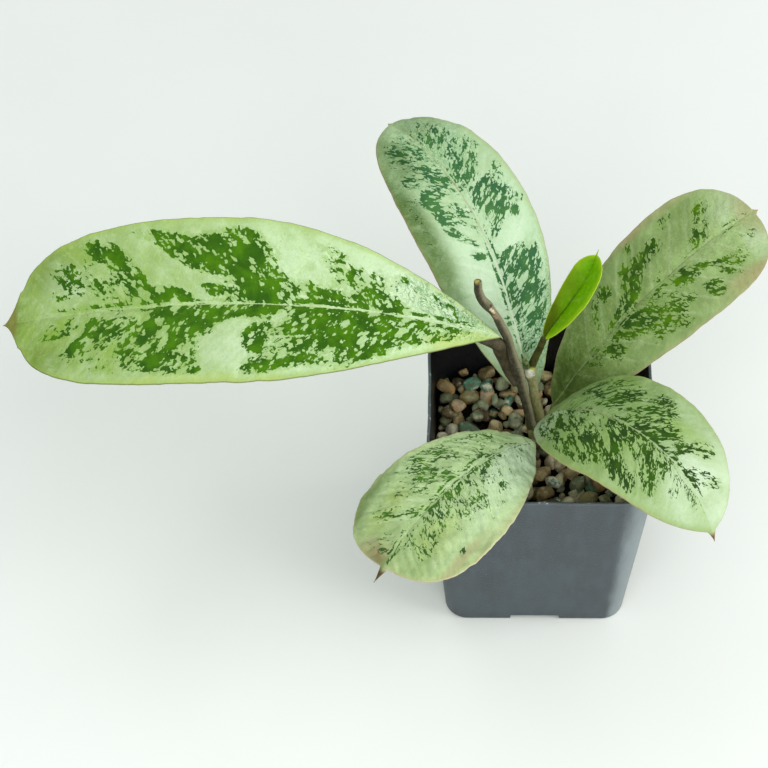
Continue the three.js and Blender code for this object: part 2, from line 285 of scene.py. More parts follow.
# A smooth path through rows of x, y, z and radius, with a sample about every stride.
def smoothPath(rows, stride):
    rows = np.asarray(rows, dtype=float)
    strides = np.linalg.norm(np.diff(rows[:, :3], axis=0), axis=1)
    gaps = np.sqrt(strides)
    knots = np.concatenate([[0], np.cumsum(gaps)])
    slopes = np.gradient(rows, knots, axis=0)
    at = np.linspace(0, knots[-1], int(np.sum(strides) / stride) + 2)
    cell = np.clip(np.searchsorted(knots, at, side="right") - 1, 0, len(gaps) - 1)
    width = gaps[cell][:, None]
    t = ((at - knots[cell]) / gaps[cell])[:, None]
    first = rows[cell] * (1 + 2 * t) * (1 - t) ** 2 + slopes[cell] * width * t * (1 - t) ** 2
    second = rows[cell + 1] * t ** 2 * (3 - 2 * t) - slopes[cell + 1] * width * t ** 2 * (1 - t)
    return first + second


def smoothStep(value, low, high):
    t = np.clip((value - low) / (high - low), 0, 1)
    return t * t * (3 - 2 * t)


# Materials


def newMaterial(name):
    material = bpy.data.materials.new(name)
    material.use_nodes = True
    desk["tree"] = material.node_tree
    return material


# Gives the shader its colour, roughness and shine, and a fine relief where there is one.
def coat(material, colour, roughness, shine, relief=None, depth=0.0):
    inputs = material.node_tree.nodes["Principled BSDF"].inputs
    feed(inputs["Base Color"], colour)
    feed(inputs["Roughness"], roughness)
    inputs["Specular IOR Level"].default_value = shine
    if relief:
        feed(inputs["Normal"], get("ShaderNodeBump", {"Height": relief, "Distance": depth}))
    return material


def objectPlace():
    return get("ShaderNodeTexCoord", output="Object")


def surfaceValue(name, output="Fac"):
    return get("ShaderNodeAttribute", output=output, attribute_name=name)


# Camera, floor and lights

view = {
    "place": (-51.5, -610, 875),
    "down": 51.5,
    "yaw": -0.88,
    "roll": -0.5,
    "lens": 120,
    "sensor": 36,
}

studio = {
    "floorColour": (240, 243, 240),
    "floorDulling": 0.975,
    "floorSize": 8,
    "sky": (0.93, 0.97, 0.96),
    "skyStrength": 0.58,
    "aim": (-20, 0, 80),
    "key": {"place": (1.95, -0.35, 1.2), "size": 1.6, "power": 29, "colour": (1, 0.985, 0.95)},
    "front": {"place": (0.04, -0.78, 0.86), "size": 1.0, "power": 5.8, "colour": (1, 1, 1)},
    "fill": {"place": (-0.9, 1.6, 1.3), "size": 1.6, "power": 5, "colour": (0.92, 0.97, 1)},
}


def aimCamera():
    data = bpy.data.cameras.new("camera")
    data.lens = view["lens"]
    data.sensor_width = view["sensor"]
    camera = bpy.data.objects.new("camera", data)
    scene.collection.objects.link(camera)
    turn = (Matrix.Rotation(math.radians(-view["yaw"]), 4, "Z")
            @ Matrix.Rotation(math.radians(90 - view["down"]), 4, "X")
            @ Matrix.Rotation(math.radians(view["roll"]), 4, "Z"))
    camera.matrix_world = Matrix.Translation(spot(*view["place"])) @ turn
    scene.camera = camera


def layFloor():
    half = studio["floorSize"] / 2
    corners = [(-half, -half, 0), (half, -half, 0), (half, half, 0), (-half, half, 0)]
    mesh = bpy.data.meshes.new("floor")
    mesh.from_pydata(corners, [], [(0, 1, 2, 3)])
    floor = piece("floor", mesh)
    material = newMaterial("pale floor")
    place = objectPlace()
    tone = grain(place, 0.12, 2, 0.5)
    pale = paint(*studio["floorColour"])
    dull = tuple(level * studio["floorDulling"] for level in pale[:3]) + (1,)
    floor.data.materials.append(coat(material, mix(step(tone, -2, 2), dull, pale), 0.8, 0.15))


def softLight(name, place, size, power, colour):
    data = bpy.data.lights.new(name, "AREA")
    data.shape = "DISK"
    data.size = size
    data.energy = power
    data.color = colour
    light = bpy.data.objects.new(name, data)
    light.location = place
    aim = spot(*studio["aim"]) - Vector(place)
    light.rotation_euler = aim.to_track_quat("-Z", "Y").to_euler()
    scene.collection.objects.link(light)


def lightStudio():
    world = bpy.data.worlds.new("studio")
    world.use_nodes = True
    sky = world.node_tree.nodes["Background"]
    sky.inputs["Color"].default_value = (*studio["sky"], 1)
    sky.inputs["Strength"].default_value = studio["skyStrength"]
    scene.world = world
    for name in ("key", "front", "fill"):
        softLight(name, **studio[name])
    scene.view_settings.view_transform = "Standard"


aimCamera()
layFloor()
lightStudio()
print("studio ready")

# Pot: a tapered square tub with round corners, four corner feet and five drain holes

pot = {
    "height": 91,
    "topSide": 88,
    "baseSide": 72,
    "topCorner": 16,
    "baseCorner": 9,
    "wall": 1.2,
    "floor": 1.6,
    "footHeight": 3.2,
    "channelWidth": 19.3,
    "channelFlare": 1.2,
    "drainRadius": 3.5,
    "drainPlace": 21,
    "rimRound": 0.5,
    "baseRound": 1.2,
    "rimWave": 0.28,
    "cornerSteps": 22,
    "sideSteps": 18,
    "arcSteps": 5,
    "wallRows": 12,
    "rimBand": 4,
    "drainSides": 40,
    "sharpAngle": 32,
    "colour": (34, 47, 56),
    "scuffed": (56, 71, 80),
    # colour of the painted highlight laid on two round corners
    "cornerHighlight": (150, 164, 168),
    "dust": (205, 210, 208),
    # near black over the inner walls and floor: painted shade inside the pot
    "inside": (11, 13, 18),
}


def potRing(z, inset, wave=0.0):
    share = z / pot["height"]
    half = (pot["baseSide"] + (pot["topSide"] - pot["baseSide"]) * share) / 2 - inset
    corner = max(pot["baseCorner"] + (pot["topCorner"] - pot["baseCorner"]) * share - inset, 0.6)
    flat = half - corner
    middles = [(flat, flat), (-flat, flat), (-flat, -flat), (flat, -flat)]
    ring = []
    for quarter, (cx, cy) in enumerate(middles):
        for i in range(pot["cornerSteps"] + 1):
            angle = (quarter + i / pot["cornerSteps"]) * math.pi / 2
            ring.append([cx + corner * math.cos(angle), cy + corner * math.sin(angle)])
        ahead = (quarter + 1) * math.pi / 2
        outX, outY = corner * math.cos(ahead), corner * math.sin(ahead)
        nx, ny = middles[(quarter + 1) % 4]
        for i in range(1, pot["sideSteps"]):
            t = i / pot["sideSteps"]
            ring.append([(cx + outX) * (1 - t) + (nx + outX) * t, (cy + outY) * (1 - t) + (ny + outY) * t])
    points = []
    for x, y in ring:
        turn = math.atan2(y, x)
        bend = wave * (math.sin(turn * 4 + 0.6) + 0.6 * math.sin(turn * 7 + 2)
                       + 0.35 * math.sin(turn * 13))
        points.append(spot(x * (1 + bend / half), y * (1 + bend / half), z + bend * 0.5))
    return points


def loft(rings):
    work = bmesh.new()
    lines = [[work.verts.new(point) for point in ring] for ring in rings]
    for near, far in zip(lines, lines[1:]):
        for i in range(len(near)):
            j = (i + 1) % len(near)
            work.faces.new((near[i], near[j], far[j], far[i]))
    work.faces.new(tuple(reversed(lines[0])))
    work.faces.new(tuple(lines[-1]))
    mesh = bpy.data.meshes.new("loft")
    work.to_mesh(mesh)
    work.free()
    faceOut(mesh)
    return mesh


def potShell():
    top, wall, bottom = pot["height"], pot["wall"], pot["floor"]
    rings = []
    arc = pot["arcSteps"]
    for i in range(arc + 1):
        angle = math.pi / 2 * i / arc
        drop = pot["baseRound"] * (1 - math.sin(angle))
        rings.append(potRing(drop if i < arc else 0, pot["baseRound"] * (1 - math.cos(angle))))
    rings.reverse()
    for level in np.linspace(pot["baseRound"], top - pot["rimBand"], pot["wallRows"])[1:]:
        rings.append(potRing(level, 0, pot["rimWave"] * (level / top) ** 4))
    lip = pot["rimRound"]
    for i in range(arc + 1):
        angle = math.pi / 2 * i / arc
        inset = lip * (1 - math.cos(angle))
        rings.append(potRing(top - lip + lip * math.sin(angle), inset, pot["rimWave"]))
    for i in range(arc + 1):
        angle = math.pi / 2 * (1 - i / arc)
        inset = wall - lip * (1 - math.cos(angle))
        rings.append(potRing(top - lip + lip * math.sin(angle), inset, pot["rimWave"]))
    for level in np.linspace(top - pot["rimBand"], bottom, pot["wallRows"]):
        rings.append(potRing(level, wall, pot["rimWave"] * (level / top) ** 4))
    return loft(rings)


def bar(bottom, top, widen, alongX):
    reach = pot["topSide"]
    narrow = pot["channelWidth"] + 2 * widen
    wide = narrow + 2 * pot["channelFlare"]
    profile = [(-wide / 2, bottom), (wide / 2, bottom), (narrow / 2, top), (-narrow / 2, top)]
    rings = []
    for far in (-reach, reach):
        rings.append([spot(far, side, z) if alongX else spot(side, far, z) for side, z in profile])
    return loft(rings)


def drain(x, y):
    radius = pot["drainRadius"]
    reach = pot["footHeight"] + pot["floor"] + 4
    sides = pot["drainSides"]
    circle = [(x + radius * math.cos(math.tau * i / sides), y + radius * math.sin(math.tau * i / sides))
              for i in range(sides)]
    return loft([[spot(px, py, z) for px, py in circle] for z in (-5, reach)])


def cut(target, meshes, operation="DIFFERENCE"):
    for mesh in meshes:
        tool = piece("tool", mesh)
        modifier = target.modifiers.new("cut", "BOOLEAN")
        modifier.operation = operation
        modifier.solver = "EXACT"
        modifier.object = tool
        graph = bpy.context.evaluated_depsgraph_get()
        result = bpy.data.meshes.new_from_object(target.evaluated_get(graph), depsgraph=graph)
        target.modifiers.remove(modifier)
        old = target.data
        target.data = result
        bpy.data.meshes.remove(old)
        bpy.data.objects.remove(tool)


def potMaterial():
    material = newMaterial("matt nursery plastic")
    place = objectPlace()
    x, y, z = split(place)
    body = grain(place, 0.018, 4, 0.6)
    smear = grain(combine(x, y, z * 0.25), 0.004, 3, 0.6, seed=3.0)
    across = grain(combine(x, y, z * 6.0), 0.012, 3, 0.7, seed=5.0)
    fine = grain(place, 0.0011, 2, 0.6, seed=8.0)
    tone = body + smear * 0.5
    plain = mix(step(tone, -1.6, 2.4), pot["colour"], pot["scuffed"])
    facing = split(get("ShaderNodeNewGeometry", output="Normal"))
    # Faces turned to the front-right, and to the back-left, take a painted highlight on the round corners
    corner = facing[0] * (facing[1] * -1.0) + smear * 0.03
    plain = layers(plain, [
        (across, 1.7, 3.2, 0.35, pot["dust"]),
        (corner, 0.12, 0.5, 0.55, pot["cornerHighlight"]),
        (fine + body * 0.3, 2.4, 2.8, 0.85, pot["dust"])])
    chips = step(grain(place, 0.0035, 3, 0.7, seed=13.0), 0.7, 1.7, 0.06, 0.8)
    rim = step(z, (pot["height"] - 1.4) * mm, (pot["height"] - 0.4) * mm)
    plain = mix(rim * chips, plain, pot["dust"])
    # Inner faces are painted near black: painted shade inside the pot
    plain = mix(surfaceValue("inner"), plain, pot["inside"])
    texture = grain(place, 0.0005, 2) + smear * 0.6
    return coat(material, plain, step(body, -2, 2, 0.33, 0.45), 0.72, texture, 0.00004)


def makePot():
    body = piece("pot_moulded", potShell())
    roof = pot["footHeight"] + pot["floor"]
    inner = [bar(-1, roof, pot["floor"], alongX) for alongX in (True, False)]
    hump = piece("hump", inner[0])
    cut(hump, [inner[1]], "UNION")
    inside = loft([potRing(level, pot["wall"] - 0.3) for level in (pot["floor"] - 0.3, roof + 6)])
    cut(hump, [inside], "INTERSECT")
    cut(body, [hump.data.copy()], "UNION")
    bpy.data.objects.remove(hump)
    cut(body, [bar(-5, pot["footHeight"], 0, alongX) for alongX in (True, False)])
    far = pot["drainPlace"]
    cut(body, [drain(x, y) for x, y in ((0, 0), (far, far), (-far, far), (-far, -far), (far, -far))])
    mesh = body.data
    mesh.shade_smooth()
    mesh.set_sharp_from_angle(angle=math.radians(pot["sharpAngle"]))
    mesh.materials.clear()
    mesh.materials.append(potMaterial())
    faceOut(mesh)
    # Marks the inner walls and upward faces inside, which take the painted shade
    low, high = (roof - 0.2) * mm, (pot["height"] - 0.6) * mm
    inner = []
    for face in mesh.polygons:
        out = face.center - potAxis
        facing = face.normal.x * out.x + face.normal.y * out.y
        inner.append(float(low < out.z < high and (facing < 0 or face.normal.z > 0.8)))
    mark(mesh, "inner", inner, "FACE")
    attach(body, "root")
    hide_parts("pot")


makePot()
print("pot moulded")

# Growing mix: the CAD solid, seen only as dark gaps between the pebbles

mixLook = {
    "dark": (16, 13, 10),
    "light": (50, 40, 31),
    "crumb": 0.0022,
}


def dressMix():
    material = newMaterial("dark bark and peat")
    place = objectPlace()
    crumbs = grain(place, mixLook["crumb"], 4, 0.65)
    tone = mix(step(crumbs, -1.2, 2.2), mixLook["dark"], mixLook["light"])
    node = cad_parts["growing_mix"]
    node.data.materials.clear()
    node.data.materials.append(coat(material, tone, 0.9, 0.2, crumbs, 0.0004))


dressMix()

# Pebbles: dropped one by one to the lowest free place, then a stone instanced on each

pebbles = {
    "seed": 23,
    "bed": 61.0,
    "top": 70.6,
    "wallAt": 67,  # the height at which the pot's width is taken
    "radius": (2.2, 4.2),
    "small": (1.4, 2.2),
    "bigShare": 0.75,
    "misses": 60,  # stones without a place before the bed counts as full
    "tries": 14,
    "nest": 0.92,  # how closely stones lie, as a share of their radii
    "stack": 0.8,
    "sunk": 0.7,
    "clearance": 0.8,
    "sizes": ((1.0, 1.28), (0.86, 1.02), (0.66, 0.86)),
    "tilt": 0.6,
    "shapes": 10,
    "planes": 9,
    "planeDepth": (0.56, 0.94),
    "knobble": 0.05,
    "soften": 0.11,
    "bloom": (232, 218, 190),
    "stain": (88, 70, 46),
    "pits": (64, 54, 40),
    # x, y and radius of the places kept free for the stems and a stalk
    "clear": [(-2.4, 4.6, 2.2), (2.4, 7.0, 2.2), (-4.5, 2.5, 1.5)],
}

pebbleColours = [
    (0.00, (66, 58, 38)), (0.07, (118, 100, 60)), (0.15, (184, 160, 110)), (0.24, (216, 196, 146)),
    (0.32, (230, 222, 192)), (0.40, (178, 134, 74)), (0.48, (126, 128, 96)), (0.56, (208, 198, 160)),
    (0.63, (150, 128, 80)), (0.70, (106, 118, 80)), (0.78, (160, 168, 134)), (0.86, (92, 104, 72)),
    (0.90, (70, 140, 118)), (0.92, (200, 196, 170)), (1.00, (226, 214, 180)),
]


def restPebbles():
    draw = random.Random(pebbles["seed"])
    lie = []
    misses = 0
    slope = (pot["topSide"] - pot["baseSide"]) / 2 / pot["height"]
    bend = pot["baseCorner"]
    while misses < pebbles["misses"]:
        size = "radius" if draw.random() < pebbles["bigShare"] else "small"
        radius = draw.uniform(*pebbles[size])
        inner = pot["baseSide"] / 2 + slope * pebbles["wallAt"] - pot["wall"] - radius
        free = radius * pebbles["clearance"]
        best = None
        for attempt in range(pebbles["tries"]):
            x = draw.uniform(-inner, inner)
            y = draw.uniform(-inner, inner)
            if math.hypot(max(abs(x) - inner + bend, 0), max(abs(y) - inner + bend, 0)) > bend:
                continue
            if any(math.hypot(x - cx, y - cy) < free + cr for cx, cy, cr in pebbles["clear"]):
                continue
            z = pebbles["bed"] + radius * pebbles["sunk"]
            for px, py, pz, pr in lie:
                reach = (radius + pr) * pebbles["nest"]
                apart = math.hypot(x - px, y - py)
                if apart < reach:
                    z = max(z, pz + math.sqrt(reach * reach - apart * apart) * pebbles["stack"])
            if best is None or z < best[2]:
                best = (x, y, z, radius)
        if best is None or best[2] > pebbles["top"]:
            misses += 1
        else:
            lie.append(best)
    return lie, draw


# Each stone's shape is a ball cut back by planes that meet in soft edges.
def pebbleTree():
    tree, given, result = newTree("Pebbles", {"Knobble": "Float", "Soften": "Float", "Stone": "Material"})
    draw = random.Random(pebbles["seed"])
    bag = add("GeometryNodeJoinGeometry")
    for shape in range(pebbles["shapes"]):
        ball = get("GeometryNodeMeshIcoSphere", {"Radius": 1.0, "Subdivisions": 3})
        place = get("GeometryNodeInputPosition")
        reach = 1.0 + grain(place, 1.1, 2, 0.5, seed=shape * 3.7) * given["Knobble"]
        for plane in range(pebbles["planes"]):
            way = Vector((draw.gauss(0, 1), draw.gauss(0, 1), draw.gauss(0, 1))).normalized()
            facing = get("ShaderNodeVectorMath", {0: place, 1: way}, output="Value",
                         operation="DOT_PRODUCT")
            depth = draw.uniform(*pebbles["planeDepth"])
            cutBack = depth / calc("MAXIMUM", facing, 0.1)
            reach = calc("SMOOTH_MIN", reach, cutBack, given["Soften"])
        stone = shift(ball, times(place, reach - 1.0))
        feed(bag.inputs[0], get("GeometryNodeGeometryToInstance", {0: stone}))
    turn = get("FunctionNodeEulerToRotation", {0: attribute("turn", "FLOAT_VECTOR")})
    laid = get("GeometryNodeInstanceOnPoints", {
        "Points": given["Geometry"], "Instance": Flow(bag.outputs[0]), "Pick Instance": True,
        "Instance Index": attribute("shape", "INT"), "Rotation": turn,
        "Scale": attribute("size", "FLOAT_VECTOR")})
    finishTree(laid, given["Stone"], result)
    return tree


def pebbleMaterial():
    material = newMaterial("river pebbles")
    place = objectPlace()
    tone = surfaceValue("tone")
    veil = grain(place, 0.0028, 3, 0.6)
    fine = grain(place, 0.0006, 2, 0.6)
    ramp = add("ShaderNodeValToRGB")
    shades = ramp.color_ramp
    shades.elements[0].position, shades.elements[0].color = 0, paint(*pebbleColours[0][1])
    shades.elements[1].position, shades.elements[1].color = 1, paint(*pebbleColours[-1][1])
    for at, colour in pebbleColours[1:-1]:
        shades.elements.new(at).color = paint(*colour)
    feed(ramp.inputs[0], calc("ADD", tone, veil * 0.022, clamp=True))
    colour = Flow(ramp.outputs[0])
    colour = layers(colour, [
        (veil, 0.3, 1.6, 0.4, pebbles["bloom"]),
        (veil, -0.3, -1.6, 0.5, pebbles["stain"]),
        (fine, 0.8, 2.2, 0.45, pebbles["pits"])])
    return coat(material, colour, step(veil, -2, 2, 0.3, 0.55), 0.6, veil + fine, 0.00008)


def makePebbles():
    lie, draw = restPebbles()
    sizes, turns, shapes, tones = [], [], [], []
    for *place, radius in lie:
        sizes.append([radius * draw.uniform(*shares) * mm for shares in pebbles["sizes"]])
        tilt = pebbles["tilt"]
        turns.append([draw.gauss(0, tilt), draw.gauss(0, tilt), draw.uniform(0, math.tau)])
        shapes.append(draw.randrange(pebbles["shapes"]))
        tones.append(draw.random())
    seed = seedMesh("pebble places", spots(lie), {
        "size": sizes, "turn": turns, "shape": np.array(shapes, dtype=int), "tone": tones})
    bed = grow("pebbles", seed, pebbleTree(), {
        "Knobble": pebbles["knobble"], "Soften": pebbles["soften"], "Stone": pebbleMaterial()})
    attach(bed, "root")
    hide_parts("gravel")
    print("pebbles laid:", len(lie), "stones,", len(bed.data.polygons), "faces")


makePebbles()

# Limbs: stems, stalks, midribs, roots and the bud, all swept along smooth paths

limbs = {
    "stride": 0.6,
    "sides": 20,
    "endSteps": 5,
    "point": 0.02,
}


def limbTree():
    tree, given, result = newTree("Limb", {"Sides": "Int", "Lumps": "Float", "Lump Size": "Float",
                                           "Bark": "Material"})
    line = get("GeometryNodeMeshToCurve", {0: given["Geometry"]})
    ring = get("GeometryNodeCurvePrimitiveCircle", {"Resolution": given["Sides"], "Radius": 1.0})
    tube = get("GeometryNodeCurveToMesh", {"Curve": line, "Profile Curve": ring,
                                           "Scale": attribute("girth"), "Fill Caps": True})
    place = get("GeometryNodeInputPosition")
    noise = get("ShaderNodeTexNoise", {"Vector": place, "Detail": 3.0, "Scale": 1.0 / given["Lump Size"]},
                output="Fac")
    lumps = (noise - 0.5) * given["Lumps"]
    bark = shift(tube, times(get("GeometryNodeInputNormal"), lumps))
    finishTree(bark, given["Bark"], result)
    return tree


limbMaker = limbTree()


# Sweeps one limb through rows of x, y, z and radius; its ends are rounded over.
def makeLimb(name, rows, material, lumps=0.3, lumpSize=3.0, blunt=(0.5, 0.5)):
    path = smoothPath(rows, limbs["stride"])
    points, girth = path[:, :3], path[:, 3]
    for end, reach in ((0, blunt[0]), (-1, blunt[1])):
        tip, inner = points[end], points[1 if end == 0 else -2]
        ahead = (tip - inner) / np.linalg.norm(tip - inner)
        extra, size = [], []
        for i in range(1, limbs["endSteps"] + 1):
            angle = math.pi / 2 * i / limbs["endSteps"]
            extra.append(tip + ahead * reach * girth[end] * math.sin(angle))
            size.append(max(girth[end] * math.cos(angle), limbs["point"]))
        if end == 0:
            points = np.vstack([extra[::-1], points])
            girth = np.concatenate([size[::-1], girth])
        else:
            points = np.vstack([points, extra])
            girth = np.concatenate([girth, size])
    way = np.concatenate([[0], np.cumsum(np.linalg.norm(np.diff(points, axis=0), axis=1))])
    seed = seedMesh(name + " path", spots(points), {"girth": girth * mm, "along": way}, inLine=True)
    return grow(name, seed, limbMaker, {"Sides": limbs["sides"], "Lumps": lumps * mm,
                                        "Lump Size": lumpSize * mm, "Bark": material})


# Stems

stemOld = {
    "rows": [[1.5, 3.2, 32, 1.5], [-0.4, 3.8, 52, 2.0], [-2.1, 4.5, 68.4, 1.9], [-4.3, 5.4, 82.8, 1.9],
             [-5.9, 6.0, 90.8, 1.85], [-7.4, 6.7, 97.5, 2.0], [-8.6, 7.3, 102.8, 2.15],
             [-9.8, 7.9, 108, 2.25], [-11.2, 8.5, 113, 2.05], [-12.6, 9.4, 118.8, 1.6],
             [-13.9, 10.2, 123.7, 1.75], [-15.9, 10.9, 128.5, 1.8], [-18.0, 11.7, 133.3, 1.6],
             [-19.9, 12.2, 136.9, 1.5], [-21.8, 12.6, 139.7, 1.95], [-23.9, 13.0, 142.6, 1.8],
             [-25.4, 13.6, 147, 1.65], [-25.8, 14.4, 151.5, 1.5]],
    "roots": [[200, 16], [265, 13], [330, 15]],
    "bark": (78, 74, 56),
    "shade": (52, 47, 34),
    "green": (66, 72, 28),
    "light": (98, 104, 58),
    # pale of the painted sunlit side on faces towards +X, and how strongly it is laid
    "pale": (158, 154, 122),
    "paintedSunlight": 0.7,
    "woodyFrom": 78,
    "marks": [
        ((-18.4, 10.9, 135.9), 0.7, 2.4, (140, 122, 98)),
        ((-20.8, 11.2, 139.4), 0.3, 1.0, (226, 208, 172)),
        ((-20.0, 11.2, 138.4), 0.3, 1.0, (232, 216, 184)),
        ((-19.5, 11.2, 137.4), 0.2, 0.8, (214, 190, 150)),
        ((-20.4, 11.5, 141.0), 0.3, 1.1, (58, 48, 36)),
        ((-26.3, 14.3, 152.6), 0.6, 2.1, (190, 172, 96)),
        ((-26.2, 14.0, 152.6), 0.1, 0.6, (120, 84, 40)),
    ],
}

stemNew = {
    "rows": [[4.6, 5.8, 34, 1.3], [3.2, 6.5, 56, 1.8], [2.2, 7.0, 68, 1.8], [-0.1, 8.0, 80, 1.8],
             [-2.2, 8.8, 90, 1.85], [-3.6, 9.5, 99, 1.95], [-4.4, 9.9, 103, 2.5],
             [-4.7, 10.1, 105.4, 2.2]],
    "roots": [[15, 15], [75, 13], [130, 14]],
    "bark": (116, 112, 68),
    "shade": (74, 74, 38),
    "green": (122, 122, 72),
    "light": (156, 154, 108),
    # pale of the painted sunlit side on faces towards +X, and how strongly it is laid
    "pale": (172, 168, 126),
    "paintedSunlight": 0.5,
    "woodyFrom": 140,
    "marks": [((-5.4, 8.0, 104.9), 1.2, 3.3, (206, 206, 188)),
              ((-6.8, 8.4, 104.9), 0.6, 2.4, (200, 200, 178))],
}

bud = {
    "rows": [[-5.6, 9.7, 104.5, 1.4], [-6.3, 9.4, 108.2, 1.35], [-6.9, 9.3, 110.8, 1.1],
             [-7.5, 9.2, 112.8, 0.75], [-8.3, 9.2, 114.8, 0.3]],
    "dark": (46, 60, 30),
    "light": (104, 124, 70),
    "foot": ((-5.9, 8.6, 104.6), 1.4, 3.0, (196, 196, 176)),
}

roots = {"drop": 35, "slack": 0.8, "rows": 7, "above": 2, "radius": (1.0, 0.55), "bend": 0.7}


# Ragged round marks, each with its middle, full and faded radius, and colour.
def addMarks(place, colour, marks):
    for middle, inner, outer, tint in marks:
        gap = get("ShaderNodeVectorMath", {0: place, 1: tuple(spot(*middle))}, operation="DISTANCE",
                  output="Value")
        ragged = grain(place, 0.0008, 2, 0.6, seed=11.0) * (0.25 * inner * mm)
        colour = mix(step(gap + ragged, outer * mm, inner * mm), colour, tint)
    return colour


def stemMaterial(name, stem):
    material = newMaterial(name)
    place = objectPlace()
    x, y, z = split(place)
    strands = grain(combine(x, y, z * 0.45), 0.0009, 3, 0.6)
    clouds = grain(place, 0.006, 3, 0.6, seed=2.0)
    fine = grain(place, 0.0007, 2, 0.6, seed=4.0)
    bark = mix(step(strands, -1.6, 1.6), stem["shade"], stem["bark"])
    fresh = mix(step(strands, -1.8, 2.0), stem["green"], stem["light"])
    woody = step(z + clouds * 0.004, (stem["woodyFrom"] - 8) * mm, (stem["woodyFrom"] + 10) * mm)
    colour = mix(woody, fresh, bark)
    # Faces turned towards +X, where the key lamp stands, turn pale: a painted sunlit side
    sunlit = split(get("ShaderNodeNewGeometry", output="Normal"))[0]
    colour = layers(colour, [
        (clouds, 0.6, 2.2, 0.4, stem["light"]),
        (sunlit, 0.0, 0.95, stem["paintedSunlight"], stem["pale"])])
    colour = addMarks(place, colour, stem["marks"])
    return coat(material, colour, step(woody, 0, 1, 0.48, 0.68), 0.3, strands + fine, 0.00009)


def rootLimbs(stem, material):
    start = stem["rows"][0]
    made = []
    for bearing, reach in stem["roots"]:
        heading = math.radians(bearing)
        rows = []
        for t in np.linspace(0, 1, roots["rows"]):
            out = reach * t ** roots["bend"]
            radius = roots["radius"][0] + (roots["radius"][1] - roots["radius"][0]) * t
            rows.append([start[0] + out * math.cos(heading), start[1] + out * math.sin(heading),
                         start[2] + roots["above"] - roots["drop"] * t * roots["slack"], radius])
        made.append(makeLimb("root", rows, material, 0.25, 2.5))
    return made


def makeStems():
    bark = stemMaterial("woody stem", stemOld)
    old = makeLimb("stem_old_bark", stemOld["rows"], bark, 0.45, 3.0, (0.5, 0.3))
    old = join(old, *rootLimbs(stemOld, bark))
    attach(old, "root")
    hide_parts("stem_old")

    skin = stemMaterial("green stem", stemNew)
    young = makeLimb("stem_new_green", stemNew["rows"], skin, 0.7, 5.0)
    point = makeLimb("bud", bud["rows"], budMaterial(), 0.3, 2.0)
    young = join(young, point, *rootLimbs(stemNew, skin))
    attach(young, "root")
    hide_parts("stem_new")


def budMaterial():
    material = newMaterial("bud scales")
    place = objectPlace()
    tone = grain(place, 0.0016, 2)
    colour = mix(step(tone, -1.5, 1.5), bud["dark"], bud["light"])
    colour = addMarks(place, colour, [bud["foot"]])
    return coat(material, colour, 0.5, 0.5, tone, 0.0001)


makeStems()
print("stems grown")

# Leaves: each blade is swept across its midrib, with its stalk and midrib below it.
# Splashes and washes are x and y on the flattened blade (y positive to the right of the midrib, seen
# from the base), half length, half width, slant outwards from the midrib in degrees, and strength.
# Speck is the grain of the splashes, and warmFrom is where the ground turns from pale to warm.

blade = {
    "ring": 132,
    "bodyRows": 190,
    "tipRows": 26,
    "crowd": 1.35,
    "edgeThickness": 0.7,
    "edgeRound": 0.35,
    "spike": 0.16,
    "spikePower": 1.5,
    "shoulderPower": 1.8,
    "groove": 0.3,
    "edgeWander": 0.12,
    "evenShare": 0.35,
    "marginRows": 700,
    "marginCrowd": 0.9,
    "batch": 2000,
    "bareDrop": 3.5,
    "marginDrop": 1.5,
    "marginReach": (0.5, 4),
    "shade": (150, 160, 122),
    "veinGap": 9,
    "puffGap": 8.5,
    "fineVeinGap": 4.2,
    "underVeinGap": 8.4,
}

# Laid over the ground in this order. The light wash is painted light and sheen, on the parts of the blades
# that face the lamps.
washPaints = {
    "light": (226, 242, 222),
    "gold": (178, 196, 86),
    "blush": (166, 138, 108),
}

rib = {
    "start": 0.75,
    "end": 0.4,
    "thins": 0.45,
    "reach": 0.86,
    "rows": 26,
    "crowd": 1.3,
    "fineRows": 400,
    "sinks": 0.03,
}

# What a leaf has unless it says otherwise
plainLeaf = {
    "thickness": 1.4,
    "stalkRadius": 1.6,
    "flare": 0,  # how much wider the stalk is where it meets the blade
    "ribFrom": 0,
    "relief": 0.25,
    "ripple": 0.5,
    "lean": 0.8,  # how far the veins run forwards
    "ground": -2.2,  # the splashes' level where there is none, and where they are full
    "cap": 1.2,
    "thread": 0.85,  # share of thin threads in the splashes' pattern
    "stretch": 0.6,
    "cell": 1.4,  # the small and the large islands in the splashes
    "hole": 2.6,
    "open": 0.55,
    "strand": 0.9,  # streaks along the midrib
    "line": 0.35,
    "gloss": 0.08,
    "veins": 0.12,
    "faint": 0.35,
    "paints": {},
    "marks": [],
}

